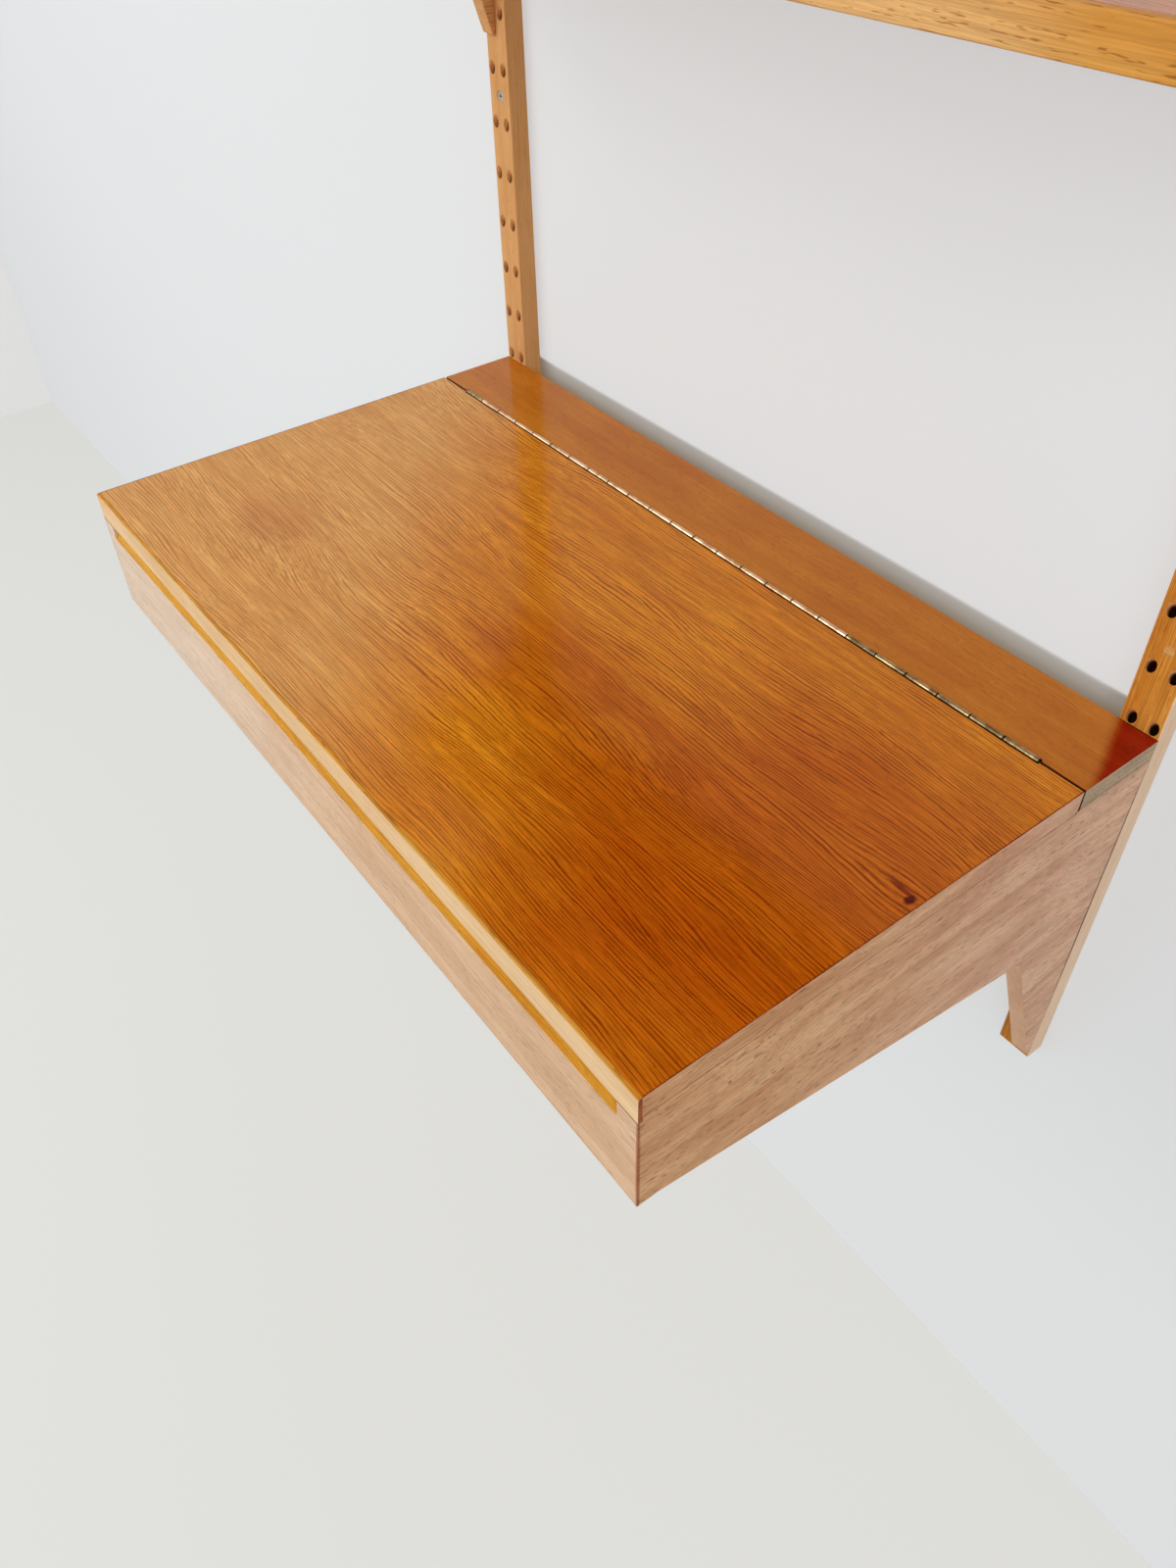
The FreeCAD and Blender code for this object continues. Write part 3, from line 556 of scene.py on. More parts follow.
def wood(name, grain, pale, deep, pore, tone_and_light_ramp=None, spots=(), knot=None, lacquer=None,
         **values):
    """A wood finish.

    tone_and_light_ramp is (run, start, end, pale, deep, pore), a slow change of colour along a
    run; on the lid top and the front panel it is a painted sheen, on the strip a painted
    reflection and in the peg holes painted light and shade. spots are (centre, reach, tint,
    share)
    marks that let the grain show: stains, and on the sides a band of painted shade. knot is
    (centre, reach), a place that the grain, run along X, flows round. values are sizes and
    depths of the grain.
    """
    material, tree, shader = start_material(name)
    colours = [tone(*steps) for steps in (pale, deep, pore)]
    if tone_and_light_ramp:
        run, start, end, *far_colours = tone_and_light_ramp
        ramp_share = step_between(tree, dot(tree, object_place(tree), run), start, end)
        colours = [mixed(tree, ramp_share, colour, tone(*far))
                   for colour, far in zip(colours, far_colours)]
    place = object_place(tree, rotation=GRAIN_TURN[grain])
    if knot:
        centre, reach = knot
        pull = spot_mask(tree, centre, reach, 1.0, KNOT_RAGGEDNESS)
        middle = node(tree, "ShaderNodeVectorMath",
                      {0: place, 1: (1, 0, 1), 2: (0, centre[1], 0)},
                      operation="MULTIPLY_ADD").outputs[0]
        place = node(tree, "ShaderNodeMix",
                     {0: product(tree, pull, KNOT_PULL), 4: place, 5: middle},
                     data_type="VECTOR").outputs[1]
    inputs = dict(zip(("Vector", "Pale", "Deep", "Pore"), (place, *colours)))
    inputs.update({key.replace("_", " ").capitalize(): value for key, value in values.items()})
    oak = node(tree, "ShaderNodeGroup", node_tree=OAK)
    for key, value in inputs.items():
        if isinstance(value, bpy.types.NodeSocket):
            tree.links.new(value, oak.inputs[key])
        else:
            oak.inputs[key].default_value = value
    colour = oak.outputs["Color"]
    for centre, reach, tint, share in spots:
        spot_share = product(tree, spot_mask(tree, centre, reach), share)
        colour = mixed(tree, spot_share, colour, tone(*tint), "MULTIPLY")
    tree.links.new(colour, shader.inputs["Base Color"])
    tree.links.new(oak.outputs["Roughness"], shader.inputs["Roughness"])
    bump = node(tree, "ShaderNodeBump", {"Height": oak.outputs["Height"],
                                         "Distance": GRAIN_DEPTH, "Strength": GRAIN_RELIEF})
    tree.links.new(bump.outputs[0], shader.inputs["Normal"])
    shader.inputs["Specular IOR Level"].default_value = 0.0 if lacquer else BARE_SHINE
    if lacquer:
        weight, blur, coat_ior = lacquer
        shader.inputs["Coat Weight"].default_value = weight
        shader.inputs["Coat Roughness"].default_value = blur
        shader.inputs["Coat IOR"].default_value = coat_ior
    return material


# The mitred corners show as a slightly darker line on both faces.
MITRE_TINT = (200, 160, 140)

# The lid top's left part is painted paler and yellower: a painted sheen where the lacquer
# reflects the bright wall.
top_veneer = wood(
    "lid top veneer", "X", (224, 144, 28), (204, 116, 14), (142, 62, 6),
    tone_and_light_ramp=((1.0, 0.95, 0.0), -0.30, -0.50, (226, 170, 96), (210, 146, 72), (184, 110, 50)),
    spots=(((-0.25, -0.37, DESK_TOP), (0.06, 0.045, 1), (225, 198, 188), 0.5),
           ((0.07, -0.295, DESK_TOP), (0.12, 0.07, 1), (232, 208, 180), 1.0),
           ((0.32, -0.31, DESK_TOP), (0.24, 0.22, 1), (224, 187, 170), 1.0),
           ((0.36, -0.43, DESK_TOP), (0.20, 0.10, 1), (240, 212, 196), 0.7),
           ((0.393, -0.262, DESK_TOP), (0.0045, 0.0065, 1), (130, 60, 50), 1.0),
           ((0.384, -0.259, DESK_TOP), (0.014, 0.0030, 1), (170, 100, 80), 0.9)),
    knot=((0.40, -0.262, 0), (0.13, 0.04, 10)), lacquer=GLOSS, line_length=0.07,
    line_spacing=0.0027, line_depth=1.0, pore_length=0.008, pore_spacing=0.0010,
    pore_start=0.62, pore_depth=0.4, wave=0.013, fibre_depth=0.5, mottle=0.6)
# By the right rail the strip is painted deep red, a painted reflection of the rail in the
# lacquer; a thin dark line runs along the rail's foot.
strip_veneer = wood(
    "strip top veneer", "X", (200, 122, 28), (182, 100, 16), (120, 44, 6),
    tone_and_light_ramp=((1.0, 0.433, 0.0), 0.354, 0.366, (158, 36, 8), (134, 22, 4), (80, 14, 4)),
    spots=(((0.384, -0.0188, DESK_TOP), (0.022, 0.0020, 1), (70, 50, 50), 1.0),),
    lacquer=GLOSS, line_length=0.04, line_spacing=0.0022, line_depth=0.22, pore_length=0.006,
    pore_spacing=0.0010, pore_start=0.6, pore_depth=0.3, wave=0.01, fibre_depth=0.25,
    mottle=0.7)
# The dark band along the foot's rear edge is painted shade in the seam against the rail.
side_veneer = wood(
    "side veneer", "Y", (224, 174, 126), (200, 142, 94), (132, 76, 42),
    tone_and_light_ramp=((0.0, 1.0, 0.0), -0.40, -0.08, (228, 184, 150), (204, 150, 118), (150, 98, 68)),
    spots=(((0, RAIL_FACE, -0.40), (10, 0.0034, 0.20), (84, 56, 40), 1.0),
           ((0, DESK_FRONT, -0.30), (10, 0.0026, 0.12), MITRE_TINT, 1.0)),
    lacquer=SATIN, line_length=0.03, line_spacing=0.0024, line_depth=0.15, pore_length=0.011,
    pore_spacing=0.0011, pore_start=0.615, pore_depth=0.8, wave=0.03, fibre_depth=0.38,
    mottle=1.0)
side_edge_wood = wood(
    "side edging", "Z", (226, 180, 142), (206, 154, 116), (140, 84, 48),
    lacquer=SATIN, line_length=0.10, line_spacing=0.0024, line_depth=0.15, pore_length=0.05,
    pore_spacing=0.0011, pore_start=0.64, pore_depth=0.2, wave=0.01, fibre_depth=0.2,
    mottle=0.8)
# The front's left part is painted paler, a painted sheen.
front_veneer = wood(
    "front veneer", "X", (229, 194, 159), (212, 169, 130), (144, 96, 62),
    tone_and_light_ramp=((1.0, 0.0, 0.0), 0.1, -0.35, (230, 208, 186), (218, 190, 164), (184, 146, 112)),
    spots=(((HALF_WIDTH, 0, -0.30), (0.0022, 10, 0.12), MITRE_TINT, 1.0),
           ((-HALF_WIDTH, 0, -0.30), (0.0022, 10, 0.12), MITRE_TINT, 1.0)),
    lacquer=SATIN, line_length=0.03, line_spacing=0.0022, line_depth=0.25, pore_length=0.010,
    pore_spacing=0.0012, pore_start=0.62, pore_depth=0.5, wave=0.010, fibre_depth=0.35,
    mottle=0.7)
left_rail_wood = wood(
    "left rail oak", "Z", (221, 171, 112), (205, 147, 86), (150, 86, 44),
    lacquer=SATIN, line_length=0.05, line_spacing=0.0022, line_depth=0.12, pore_length=0.012,
    pore_spacing=0.0010, pore_start=0.64, pore_depth=0.3, wave=0.006, fibre_depth=0.2,
    mottle=0.6)
right_rail_wood = wood(
    "right rail oak", "Z", (222, 156, 70), (196, 121, 38), (136, 72, 22),
    lacquer=SATIN, line_length=0.05, line_spacing=0.0015, line_depth=0.5, pore_length=0.012,
    pore_spacing=0.0010, pore_start=0.62, pore_depth=0.4, wave=0.004, fibre_depth=0.5,
    mottle=0.9)
rail_edge_wood = wood(
    "rail edge oak", "Z", (244, 212, 180), (234, 196, 160), (196, 150, 112),
    lacquer=SATIN, line_length=0.05, line_spacing=0.0022, line_depth=0.15, pore_depth=0.2,
    wave=0.006, fibre_depth=0.15, mottle=0.6)
# The peg holes are painted pale at their mouths and near black further in: painted light and
# shade.
hole_wood = wood(
    "peg hole wood", "Z", (252, 200, 140), (240, 172, 104), (160, 90, 40),
    tone_and_light_ramp=((0.0, 1.0, 0.0), -0.0168, -0.0122, (90, 42, 12), (50, 24, 8), (40, 18, 6)),
    line_depth=0.3, pore_depth=0.3, fibre_depth=0.5, mottle=0.6)
lipping_wood = wood(
    "front lipping oak", "X", (236, 202, 156), (222, 178, 122), (170, 116, 70),
    lacquer=SATIN, line_length=0.06, line_spacing=0.0016, line_depth=0.2, pore_length=0.014,
    pore_spacing=0.0009, pore_start=0.62, pore_depth=0.3, wave=0.003, fibre_depth=0.25,
    mottle=0.6)
lipping_arris = wood(
    "front lipping worn edge", "X", (216, 158, 58), (192, 118, 26), (116, 52, 8),
    lacquer=SATIN, line_depth=0.4, pore_start=0.6, fibre_depth=0.5, mottle=0.8)
shelf_edge_wood = wood(
    "shelf lipping oak", "X", (225, 177, 115), (207, 152, 86), (156, 90, 36),
    tone_and_light_ramp=((1.0, 0.0, 0.0), 0.295, 0.36, (215, 158, 80), (197, 132, 52), (148, 80, 24)),
    lacquer=SATIN, line_length=0.05, line_spacing=0.0035, line_depth=0.15, pore_length=0.012,
    pore_spacing=0.0012, pore_start=0.62, pore_depth=0.7, wave=0.008, fibre_depth=0.35,
    mottle=0.6)
bracket_wood = wood(
    "bracket oak", "Y", (224, 174, 116), (204, 146, 88), (144, 88, 44),
    lacquer=SATIN, line_depth=0.3, pore_start=0.62, pore_depth=0.4, fibre_depth=0.35,
    mottle=0.6)
bare_wood = wood(
    "bare golden oak", "X", (222, 164, 58), (200, 130, 28), (150, 84, 16),
    lacquer=SATIN, line_length=0.03, line_spacing=0.0014, line_depth=0.4, pore_length=0.006,
    pore_spacing=0.0010, pore_start=0.6, pore_depth=0.3, fibre_depth=0.4, mottle=0.8)
# Near black wood for faces in the narrow gaps round the lid: painted shade.
gap_shade_wood = wood(
    "painted gap shade", "X", (96, 50, 22), (66, 32, 12), (36, 16, 8),
    line_depth=0.4, pore_depth=0.4, fibre_depth=0.4, mottle=0.6)
dark_arris = wood(
    "stained edge", "X", (176, 86, 26), (126, 50, 14), (66, 24, 8),
    lacquer=SATIN, line_depth=0.4, pore_start=0.58, fibre_depth=0.4, mottle=0.8)
end_grain = wood(
    "end grain", "Z", (214, 172, 126), (190, 144, 98), (122, 82, 48),
    line_length=0.003, line_spacing=0.0015, line_depth=0.3, pore_length=0.0016,
    pore_spacing=0.0012, pore_start=0.55, pore_depth=0.6, wave=0.001, fibre_depth=0.3,
    mottle=0.5)
strip_end = wood(
    "strip end grain", "Y", (198, 170, 136), (166, 138, 106), (92, 68, 48),
    line_length=0.02, line_spacing=0.0028, line_depth=0.3, pore_length=0.0018,
    pore_spacing=0.0009, pore_start=0.55, pore_depth=0.7, wave=0.002, fibre_depth=0.4,
    mottle=0.8)
plug_wood = wood(
    "plug oak", "X", (228, 176, 114), (210, 148, 78), (160, 98, 44),
    lacquer=SATIN, line_length=0.004, line_spacing=0.0016, line_depth=0.3, pore_length=0.002,
    pore_spacing=0.0008, pore_start=0.58, pore_depth=0.4, wave=0.001, fibre_depth=0.4,
    mottle=0.6)
inner_wood = wood(
    "inside softwood", "X", (226, 194, 146), (206, 168, 118), (158, 112, 68),
    line_length=0.12, line_spacing=0.005, line_depth=0.35, pore_depth=0.2, wave=0.02,
    fibre_depth=0.3, mottle=0.5)
beech_wood = wood(
    "beech", "X", (222, 182, 140), (206, 160, 116), (160, 110, 72),
    line_depth=0.1, pore_length=0.003, pore_spacing=0.0008, pore_start=0.58, pore_depth=0.5,
    wave=0.001, fibre_depth=0.3, mottle=0.4)

DULL_PATCHES = (0.012, 0.012, 0.012)
PATCH_RANGE = (0.35, 0.65)
PATCH_ROUGHNESS = 0.2
SPECKS = (0.0012, 0.0012, 0.0012)
SPECK_RANGE = (0.6, 0.72)
SPECK_SHARE = 0.6
SPECK_DEPTH = 0.00005
SPECK_RELIEF = 0.4
RING_EDGES = (0.4, 0.6)


def metal(name, bright, dull, dark, roughness, shaded_joints=None):
    """Handled metal: dull patches and fine darker specks over the bright ground.

    shaded_joints is (start, pitch, width) of dark rings along X, painted shade such as at a
    hinge's knuckle ends.
    """
    material, tree, shader = start_material(name)
    bright, dull, dark = (tone(*steps) for steps in (bright, dull, dark))
    place = object_place(tree)
    patches = step_between(tree, noise(tree, stretched(tree, place, DULL_PATCHES), 3.0, 0.6),
                           *PATCH_RANGE)
    specks = step_between(tree, noise(tree, stretched(tree, place, SPECKS)), *SPECK_RANGE)
    colour = mixed(tree, patches, bright, dull)
    colour = mixed(tree, product(tree, specks, SPECK_SHARE), colour, dark)
    if shaded_joints:
        start, pitch, width = shaded_joints
        along = node(tree, "ShaderNodeSeparateXYZ", {0: place}).outputs["X"]
        turns = calc(tree, "MULTIPLY_ADD", along, 1 / pitch, 0.5 - start / pitch)
        clear = step_between(tree, folded(tree, turns),
                             *(edge * width / pitch for edge in RING_EDGES))
        colour = mixed(tree, clear, dark, colour)
    tree.links.new(colour, shader.inputs["Base Color"])
    tree.links.new(calc(tree, "MULTIPLY_ADD", patches, PATCH_ROUGHNESS, roughness),
                   shader.inputs["Roughness"])
    shader.inputs["Metallic"].default_value = 1.0
    bump = node(tree, "ShaderNodeBump", {"Height": rest_of(tree, specks),
                                         "Distance": SPECK_DEPTH, "Strength": SPECK_RELIEF})
    tree.links.new(bump.outputs[0], shader.inputs["Normal"])
    return material


# Dark rings of painted shade at the knuckles' ends.
KNUCKLE_ENDS = (-0.357, 0.030, 0.0014)
# Pale brass for the screws and the barrel's painted highlight; olive brass for the rest.
brass = metal("pale brass", (242, 206, 168), (196, 156, 116), (60, 42, 30), 0.3,
              KNUCKLE_ENDS)
dull_brass = metal("olive brass", (184, 160, 116), (122, 100, 66), (34, 26, 18), 0.35,
                   KNUCKLE_ENDS)
# Near black brass, painted where the barrel lies in shade.
shaded_brass = metal("painted shade brass", (70, 54, 36), (40, 30, 22), (20, 15, 12), 0.5)
zinc = metal("zinc plated steel", (196, 196, 192), (150, 150, 148), (90, 86, 80), 0.3)


# Dressing

def clothe(obj, default, *rules):
    """Give every face the default finish, or that of the last rule that it passes."""
    obj.data.materials.clear()
    obj.data.materials.append(default)
    for material, test in rules:
        obj.data.materials.append(material)
    for face in obj.data.polygons:
        face.material_index = 0
        for index, (material, test) in enumerate(rules, start=1):
            if test(face.center, face.normal):
                face.material_index = index


def stand_in(obj, body, slot, *nodes):
    """Ride on a body and stand for CAD nodes."""
    let_go()
    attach(obj, body)
    if nodes:
        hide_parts(*nodes)


def dress_nodes(material, *names):
    """A better finish for CAD nodes that keep their own meshes."""
    for name in names:
        for slot in frame["nodes"][name].material_slots:
            slot.material = material


# Sizes of the bevels and bands that get a finish of their own.
JOINT_BEVEL = 0.0004
JOINT_CLEAR = 0.001
WORN_EDGE = 0.0008


def facing(axis, sign=0):
    """A test for faces that look along an axis, on one side of it or on both."""
    if sign:
        return lambda centre, normal: normal[axis] * sign > MOSTLY
    return lambda centre, normal: abs(normal[axis]) > MOSTLY


def bevel_at(level):
    """A test for the fine bevels along edges at one height."""
    return lambda centre, normal: (abs(centre.z - level) < JOINT_BEVEL
                                   and abs(normal.z) < LEVEL)


def at_lid_joint(centre, normal):
    """The fine bevels where the closed lid meets the case, painted dark as shade in the joint.
    """
    return (bevel_at(LID_UNDER)(centre, normal)
            and NOTCH_REAR + JOINT_CLEAR < centre.y < LID_REAR)


# The lid's back faces, across the gap from the strip, take the painted gap shade.
def looks_back(centre, normal):
    return normal.y > PARTLY


# Desk case

def between(y, start, end):
    """Height at y on the line from one (y, z) point to another."""
    return start[1] + (end[1] - start[1]) * (y - start[0]) / (end[0] - start[0])


def on_foot_front(centre, normal):
    """The front edge of a side's foot, behind the heel."""
    return normal.y < -PARTLY and centre.y > HEEL[0]


for side_name, sign in (("left", LEFT), ("right", RIGHT)):
    outer, inner = sign * HALF_WIDTH, sign * SIDE_INNER
    x_low, x_high = sorted((outer, inner))
    node_name = "desk_" + side_name + "_side"
    side = plate(node_name + "_veneered", x_low, x_high, [
        (DESK_FRONT, FRONT_LOW, LID_UNDER),
        (FRONT_INNER, FRONT_LOW, LID_UNDER),
        (HEEL[0], HEEL[1], LID_UNDER),
        (STRIP_FRONT, between(STRIP_FRONT, HEEL, FOOT), SIDE_TOP),
        (FOOT[0], FOOT[1], SIDE_TOP),
        (RAIL_FACE, FOOT[1], SIDE_TOP)])
    take_out(side, block("notch", (x_low - OVERCUT, DESK_FRONT - OVERCUT, FRONT_SEAT),
                         (x_high + OVERCUT, NOTCH_REAR, 0)))
    trim(side, (outer, DESK_FRONT, 0), (-sign, -1, 0))
    soften(side, FINE_EDGE)
    clothe(side, side_veneer, (inner_wood, facing(ACROSS, -sign)), (gap_shade_wood, at_lid_joint),
           (side_edge_wood, on_foot_front))
    stand_in(side, "wall_frame", "side_veneer", node_name)

front = block("desk_front_panel_veneered", (-HALF_WIDTH, DESK_FRONT, FRONT_LOW),
              (HALF_WIDTH, FRONT_INNER, FRONT_SEAT))
recess = block("recess", (-RECESS_END, DESK_FRONT - OVERCUT, RECESS_LOW - OVERCUT),
               (RECESS_END, FRONT_INNER, FRONT_SEAT + OVERCUT))
trim(recess, (0, DESK_FRONT, RECESS_LOW), (0, FRONT_SEAT - RECESS_LOW, -RECESS_DEPTH))
take_out(front, recess)
for sign in (LEFT, RIGHT):
    trim(front, (sign * HALF_WIDTH, DESK_FRONT, 0), (sign, 1, 0))
soften(front, FINE_EDGE)


def in_recess(centre, normal):
    """The slope of the finger recess."""
    return (abs(centre.x) < RECESS_END and centre.y < FRONT_INNER - JOINT_CLEAR
            and normal.z > SLIGHTLY and centre.z < FRONT_SEAT - JOINT_CLEAR)


def under_lipping(centre, normal):
    """The fine edge of the panel's two ends where the lid's lipping sits, painted dark as
    shade.
    """
    return bevel_at(FRONT_SEAT)(centre, normal) and abs(centre.x) > RECESS_END


clothe(front, front_veneer, (inner_wood, facing(DEEP, 1)), (bare_wood, in_recess),
       (gap_shade_wood, under_lipping))
stand_in(front, "wall_frame", "side_veneer", "desk_front_panel")

dress_nodes(inner_wood, "desk_back_panel", "desk_bottom_panel", "desk_glue_block_left",
            "desk_glue_block_right")
dress_nodes(zinc, "desk_pegs")
dress_nodes(beech_wood, "strip_dowels", "back_dowels")


# Desk top

def hinge_rebate():
    return block("rebate", (HINGE_START, HINGE_AXIS - BARREL_ROOM, DESK_TOP - BARREL_ROOM),
                 (HINGE_END, HINGE_AXIS + BARREL_ROOM, DESK_TOP + OVERCUT))


strip = block("desk_top_strip_veneered", (-HALF_WIDTH, STRIP_FRONT, SIDE_TOP),
              (HALF_WIDTH, RAIL_FACE, DESK_TOP))
take_out(strip, hinge_rebate())
soften(strip, FINE_EDGE)
# The strip's front, across the gap from the lid, takes the painted gap shade.
clothe(strip, strip_veneer, (gap_shade_wood, facing(DEEP, -1)), (strip_end, facing(ACROSS)),
       (inner_wood, facing(UP, -1)))
stand_in(strip, "wall_frame", "top_veneer", "desk_top_strip")


def lid_slab(name, x_low, x_high):
    """A length of the lid's section, with its rounded lower rear edge."""
    slab = block(name, (x_low, LIPPING_REAR, LID_UNDER), (x_high, LID_REAR, DESK_TOP))
    round_edge(slab, lambda middle, run: near(middle.y, LID_REAR) and near(middle.z, LID_UNDER),
               LID_CORNER_ROUND, ROUND_STEPS)
    return slab


lid = lid_slab("desk_lid_veneered", -HALF_WIDTH + END_EDGING, HALF_WIDTH - END_EDGING)
take_out(lid, hinge_rebate())
soften(lid, FINE_EDGE)
clothe(lid, top_veneer, (inner_wood, facing(UP, -1)), (gap_shade_wood, looks_back))
stand_in(lid, "lid", "top_veneer", "desk_lid")

for side_name, sign in (("left", LEFT), ("right", RIGHT)):
    x_low, x_high = sorted((sign * HALF_WIDTH, sign * (HALF_WIDTH - END_EDGING)))
    edging = lid_slab("lid_" + side_name + "_edging", x_low, x_high)
    soften(edging, TIGHT_EDGE)
    clothe(edging, side_veneer, (dark_arris, facing(UP, 1)), (gap_shade_wood, at_lid_joint),
           (gap_shade_wood, looks_back))
    stand_in(edging, "lid", "side_veneer", "lid_" + side_name + "_lipping")

lipping = block("lid_front_edging", (-HALF_WIDTH, DESK_FRONT, LIPPING_UNDER),
                (HALF_WIDTH, LIPPING_REAR, DESK_TOP))
round_edge(lipping, lambda middle, run: near(middle.y, DESK_FRONT) and near(middle.z, DESK_TOP),
           LIPPING_ROUND, ROUND_STEPS)
soften(lipping, TIGHT_EDGE)
clothe(lipping, lipping_wood,
       (lipping_arris, lambda centre, normal: centre.z > DESK_TOP - WORN_EDGE),
       (dark_arris, facing(ACROSS)))
stand_in(lipping, "lid", "lipping_oak", "lid_front_lipping")


# Piano hinge

# The barrel's painted highlight runs between these places.
BRIGHT_START, BRIGHT_END = -0.32, 0.17
BARREL_FRONT = 0.93


def outside_highlight(centre, normal):
    """The barrel's right third and left end, dull olive beside its painted highlight."""
    return not BRIGHT_START <= centre.x <= BRIGHT_END


def in_barrel_shade(centre, normal):
    """The barrel's front and the knuckles' ends, painted as shade in the gaps round them."""
    return normal.y < -BARREL_FRONT or abs(normal.x) > PARTLY


for node_name, body in (("hinge_fixed_leaf", "wall_frame"), ("hinge_moving_leaf", "lid"),
                        ("hinge_pin", "wall_frame")):
    leaf = cad_copy(node_name, node_name + "_brass")
    soften(leaf, FINE_EDGE, segments=1)
    clothe(leaf, brass, (dull_brass, outside_highlight), (shaded_brass, in_barrel_shade))
    stand_in(leaf, body, "hinge_brass", node_name)
dress_nodes(brass, "hinge_fixed_screws", "hinge_moving_screws")


# Rails

RAIL_OUTER = 0.399
BORED_REACH = 0.0152
BORED_START, BORED_END = -0.0184, -0.0005


def on_outer_edge(centre, normal):
    return normal.x > PARTLY and centre.x > RAIL_OUTER


def in_hole(centre, normal):
    """The walls of the peg and screw holes."""
    return (BORED_START < centre.y < BORED_END
            and abs(abs(centre.x) - RAIL_MIDDLE) < BORED_REACH)


for side_name, rail_wood in (("left", left_rail_wood), ("right", right_rail_wood)):
    node_name = side_name + "_rail"
    rail = cad_copy(node_name, node_name + "_oiled")
    soften(rail, FINE_EDGE)
    clothe(rail, rail_wood, (rail_edge_wood, on_outer_edge), (hole_wood, in_hole),
           (end_grain, facing(UP)))
    stand_in(rail, "wall_frame", "rail_oak", node_name)

dress_nodes(zinc, "rail_screws")
plug = cad_copy("cover_plug", "cover_plug_turned")
soften(plug, FINE_EDGE)
clothe(plug, plug_wood)
stand_in(plug, "wall_frame", "plug_wood", "cover_plug")


# Shelves

def front_edges(front_y):
    """A test for the long edges of a lipping's front."""
    return lambda middle, run: near(middle.y, front_y) and abs(run.x) > HALF_WIDTH


for level_name in ("lower_shelf", "upper_shelf"):
    board_low, board_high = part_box(level_name + "_board")
    board = block(level_name + "_board_veneered", board_low, board_high)
    soften(board, FINE_EDGE)
    clothe(board, top_veneer, (end_grain, facing(ACROSS)), (bare_wood, facing(DEEP)))
    stand_in(board, "wall_frame", "top_veneer", level_name + "_board")

    edge_low, edge_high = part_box(level_name + "_lipping")
    edging = block(level_name + "_edging", edge_low, edge_high)
    round_edge(edging, front_edges(edge_low.y), SHELF_EDGE_ROUND, SHELF_ROUND_STEPS)
    soften(edging, FINE_EDGE)
    clothe(edging, shelf_edge_wood, (end_grain, facing(ACROSS)))
    stand_in(edging, "wall_frame", "lipping_oak", level_name + "_lipping")

    for side_name in ("left", "right"):
        node_name = level_name + "_" + side_name + "_bracket"
        low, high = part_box(node_name)
        under = high.z
        heel_y, heel_drop = BRACKET_HEEL
        tip_y, tip_drop = BRACKET_TIP
        bracket = plate(node_name + "_oiled", low.x, high.x, [
            (low.y, under - NOSE_HEIGHT, under),
            (heel_y, under - heel_drop, under),
            (tip_y, under - tip_drop, under),
            (RAIL_FACE, under - tip_drop, under)])
        soften(bracket, SOFT_EDGE)
        clothe(bracket, bracket_wood)
        stand_in(bracket, "wall_frame", "rail_oak", node_name)

    dress_nodes(zinc, level_name + "_pegs")
    dress_nodes(beech_wood, level_name + "_dowels")


# Room

FLOOR_LEVEL = -1.25
ROOM_CORNER = -2.95
WALL_GAP = 0.0008
FLOOR_SIZE = 16
WALL_SIZE = 8
GLOW = 0.6

# The wall's shade in the gap behind the desk, and the z and x ranges over which it fades in.
NOOK_REACH = 0.03
NOOK_DEPTH = 6.0
NOOK_SAMPLES = 8
NOOK_TONE = (106, 98, 78)
NOOK_BOTTOM = (-0.30, -0.26)
NOOK_TOP = (-0.226, -0.232)
NOOK_SIDE = (0.400, 0.396)


def room_finish(name, colour, lets_light_by=True, shaded=False):
    """A plain pale surface seen from its front alone; light may pass a wall from behind.

    A shaded wall is darker in the narrow gap behind the desk.
    """
    material, tree, shader = start_material(name)
    tree.nodes.remove(shader)
    colour = tone(*colour)
    plain = node(tree, "ShaderNodeBsdfDiffuse", {"Color": colour}).outputs[0]
    glow_colour = colour
    if shaded:
        nook = node(tree, "ShaderNodeAmbientOcclusion", {"Distance": NOOK_REACH},
                    samples=NOOK_SAMPLES)
        place = node(tree, "ShaderNodeSeparateXYZ", {0: object_place(tree)}).outputs
        behind_desk = product(tree, step_between(tree, calc(tree, "ABSOLUTE", place["X"]),
                                                 *NOOK_SIDE),
                              product(tree, step_between(tree, place["Z"], *NOOK_BOTTOM),
                                      step_between(tree, place["Z"], *NOOK_TOP)))
        openness = calc(tree, "POWER", nook.outputs["AO"],
                        product(tree, behind_desk, NOOK_DEPTH))
        glow_colour = mixed(tree, openness, tone(*NOOK_TONE), colour)
    lit = node(tree, "ShaderNodeEmission", {"Color": glow_colour}).outputs[0]
    clear = node(tree, "ShaderNodeBsdfTransparent").outputs[0]
    hidden = node(tree, "ShaderNodeNewGeometry").outputs["Backfacing"]
    path = node(tree, "ShaderNodeLightPath").outputs
    seen = calc(tree, "MAXIMUM", path["Is Camera Ray"],
                calc(tree, "MAXIMUM", path["Is Glossy Ray"], path["Is Transmission Ray"]))
    if lets_light_by:
        hidden = calc(tree, "MAXIMUM", hidden, rest_of(tree, seen))
    surface = node(tree, "ShaderNodeMixShader",
                   {0: product(tree, seen, GLOW), 1: plain, 2: lit}).outputs[0]
    blend = node(tree, "ShaderNodeMixShader", {0: hidden, 1: surface, 2: clear}).outputs[0]
    tree.links.new(blend, tree.nodes["Material Output"].inputs["Surface"])
    return material


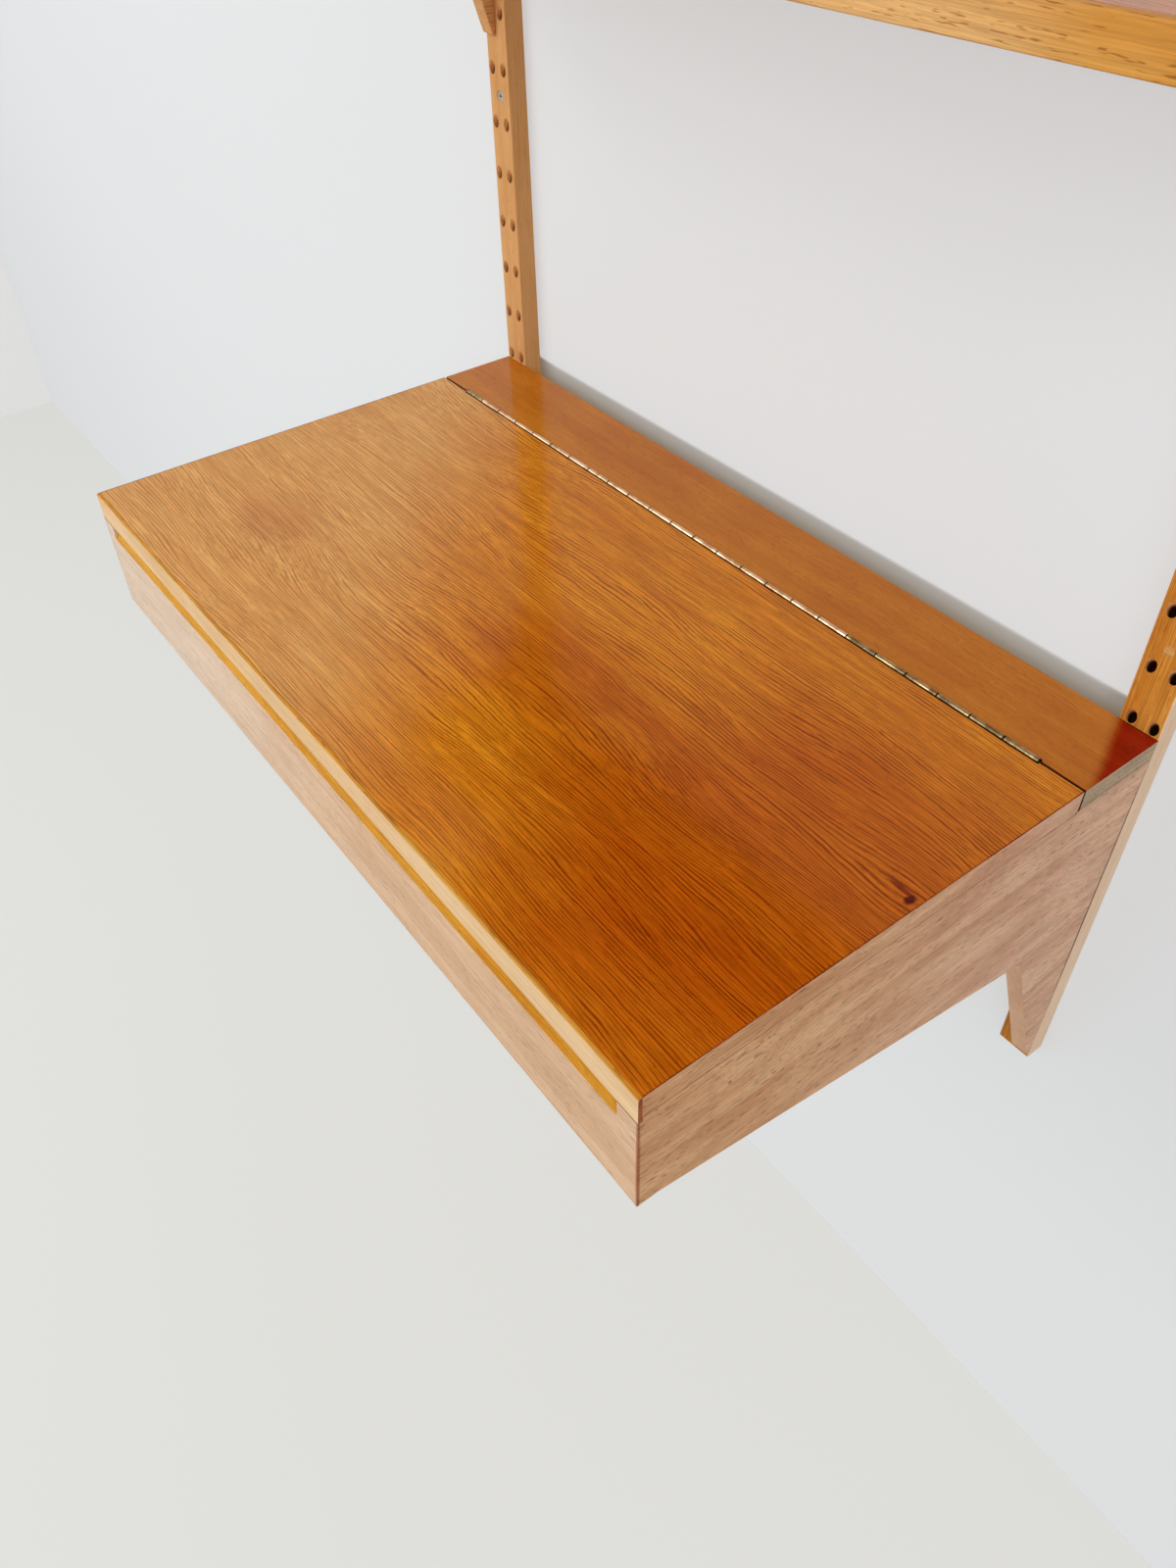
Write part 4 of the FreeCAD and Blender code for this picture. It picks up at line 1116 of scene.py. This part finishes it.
def room_plane(name, location, turn, size, material):
    let_go()
    bpy.ops.mesh.primitive_plane_add(size=size, location=location, rotation=turn)
    plane = bpy.context.object
    plane.name = plane.data.name = name
    bpy.ops.object.transform_apply(location=True, rotation=True, scale=True)
    plane.data.materials.append(material)
    plane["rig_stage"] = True


wall_paint = room_finish("wall paint", (229, 231, 232), shaded=True)
left_wall_paint = room_finish("left wall paint", (236, 236, 235))
floor_paint = room_finish("floor paint", (229, 229, 225), lets_light_by=False)
wall_middle = FLOOR_LEVEL + WALL_SIZE / 2
room_plane("floor", (0, 0, FLOOR_LEVEL), (0, 0, 0), FLOOR_SIZE, floor_paint)
room_plane("wall", (ROOM_CORNER + WALL_SIZE / 2, WALL_GAP, wall_middle),
           (math.radians(90), 0, 0), WALL_SIZE, wall_paint)
room_plane("left_wall", (ROOM_CORNER, -WALL_SIZE / 2, wall_middle),
           (0, math.radians(90), 0), WALL_SIZE, left_wall_paint)


# Light

DESK_MIDDLE = (0, -0.2, -0.3)
SEEN_AHEAD = (0.78, 0.78, 0.77, 1)
SEEN_OVERHEAD = (0.3, 0.3, 0.3, 1)
ROOM_LIGHT = (0.52, 0.525, 0.54, 1)
OVERHEAD = (0.35, 0.95)


def soft_light(name, location, size, power, colour=(1, 1, 1)):
    """A square lamp that is turned to the desk."""
    data = bpy.data.lights.new(name, "AREA")
    data.shape = "SQUARE"
    data.size = size
    data.energy = power
    data.color = colour
    lamp = bpy.data.objects.new(name, data)
    lamp.location = location
    direction = Vector(DESK_MIDDLE) - Vector(location)
    lamp.rotation_euler = direction.to_track_quat("-Z", "Y").to_euler()
    bpy.context.scene.collection.objects.link(lamp)


def light_room(tree):
    """An even light, with a duller ceiling in what the lacquer reflects."""
    direction = node(tree, "ShaderNodeTexCoord").outputs["Generated"]
    rise = node(tree, "ShaderNodeSeparateXYZ", {0: direction}).outputs["Z"]
    path = node(tree, "ShaderNodeLightPath").outputs
    mirror = calc(tree, "MAXIMUM", path["Is Glossy Ray"], path["Is Transmission Ray"])
    overhead = step_between(tree, rise, *OVERHEAD)
    seen = mixed(tree, product(tree, overhead, mirror), SEEN_AHEAD, SEEN_OVERHEAD)
    shown = calc(tree, "MAXIMUM", path["Is Camera Ray"], mirror)
    tree.links.new(mixed(tree, shown, ROOM_LIGHT, seen),
                   tree.nodes["Background"].inputs["Color"])


soft_light("window light", (-1.6, -2.6, 1.6), 2.2, 60, (1.0, 0.99, 0.97))
soft_light("right fill", (2.4, -1.8, 1.4), 2.0, 24)
world = bpy.data.worlds.new("room light")
bpy.context.scene.world = world
world.use_nodes = True
light_room(world.node_tree)


# Camera, which stands where the photograph's camera stood

CAMERA_PLACE = Vector((0.66066, -0.69270, 0.32361))
CAMERA_AHEAD = Vector((-0.58632, 0.42127, -0.69192)).normalized()
CAMERA_RIGHT = Vector((0.60032, 0.79946, -0.02195)).normalized()
CAMERA_UP = CAMERA_RIGHT.cross(CAMERA_AHEAD)
camera_data = bpy.data.cameras.new("camera")
camera_data.lens = 27.278
camera_data.sensor_width = 36
camera_data.clip_start = 0.01
camera = bpy.data.objects.new("camera", camera_data)
turn = Matrix((CAMERA_RIGHT, CAMERA_UP, -CAMERA_AHEAD)).transposed()
camera.matrix_world = Matrix.Translation(CAMERA_PLACE) @ turn.to_4x4()
bpy.context.scene.collection.objects.link(camera)
bpy.context.scene.camera = camera
bpy.context.scene.view_settings.view_transform = "Standard"

let_go()
low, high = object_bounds()
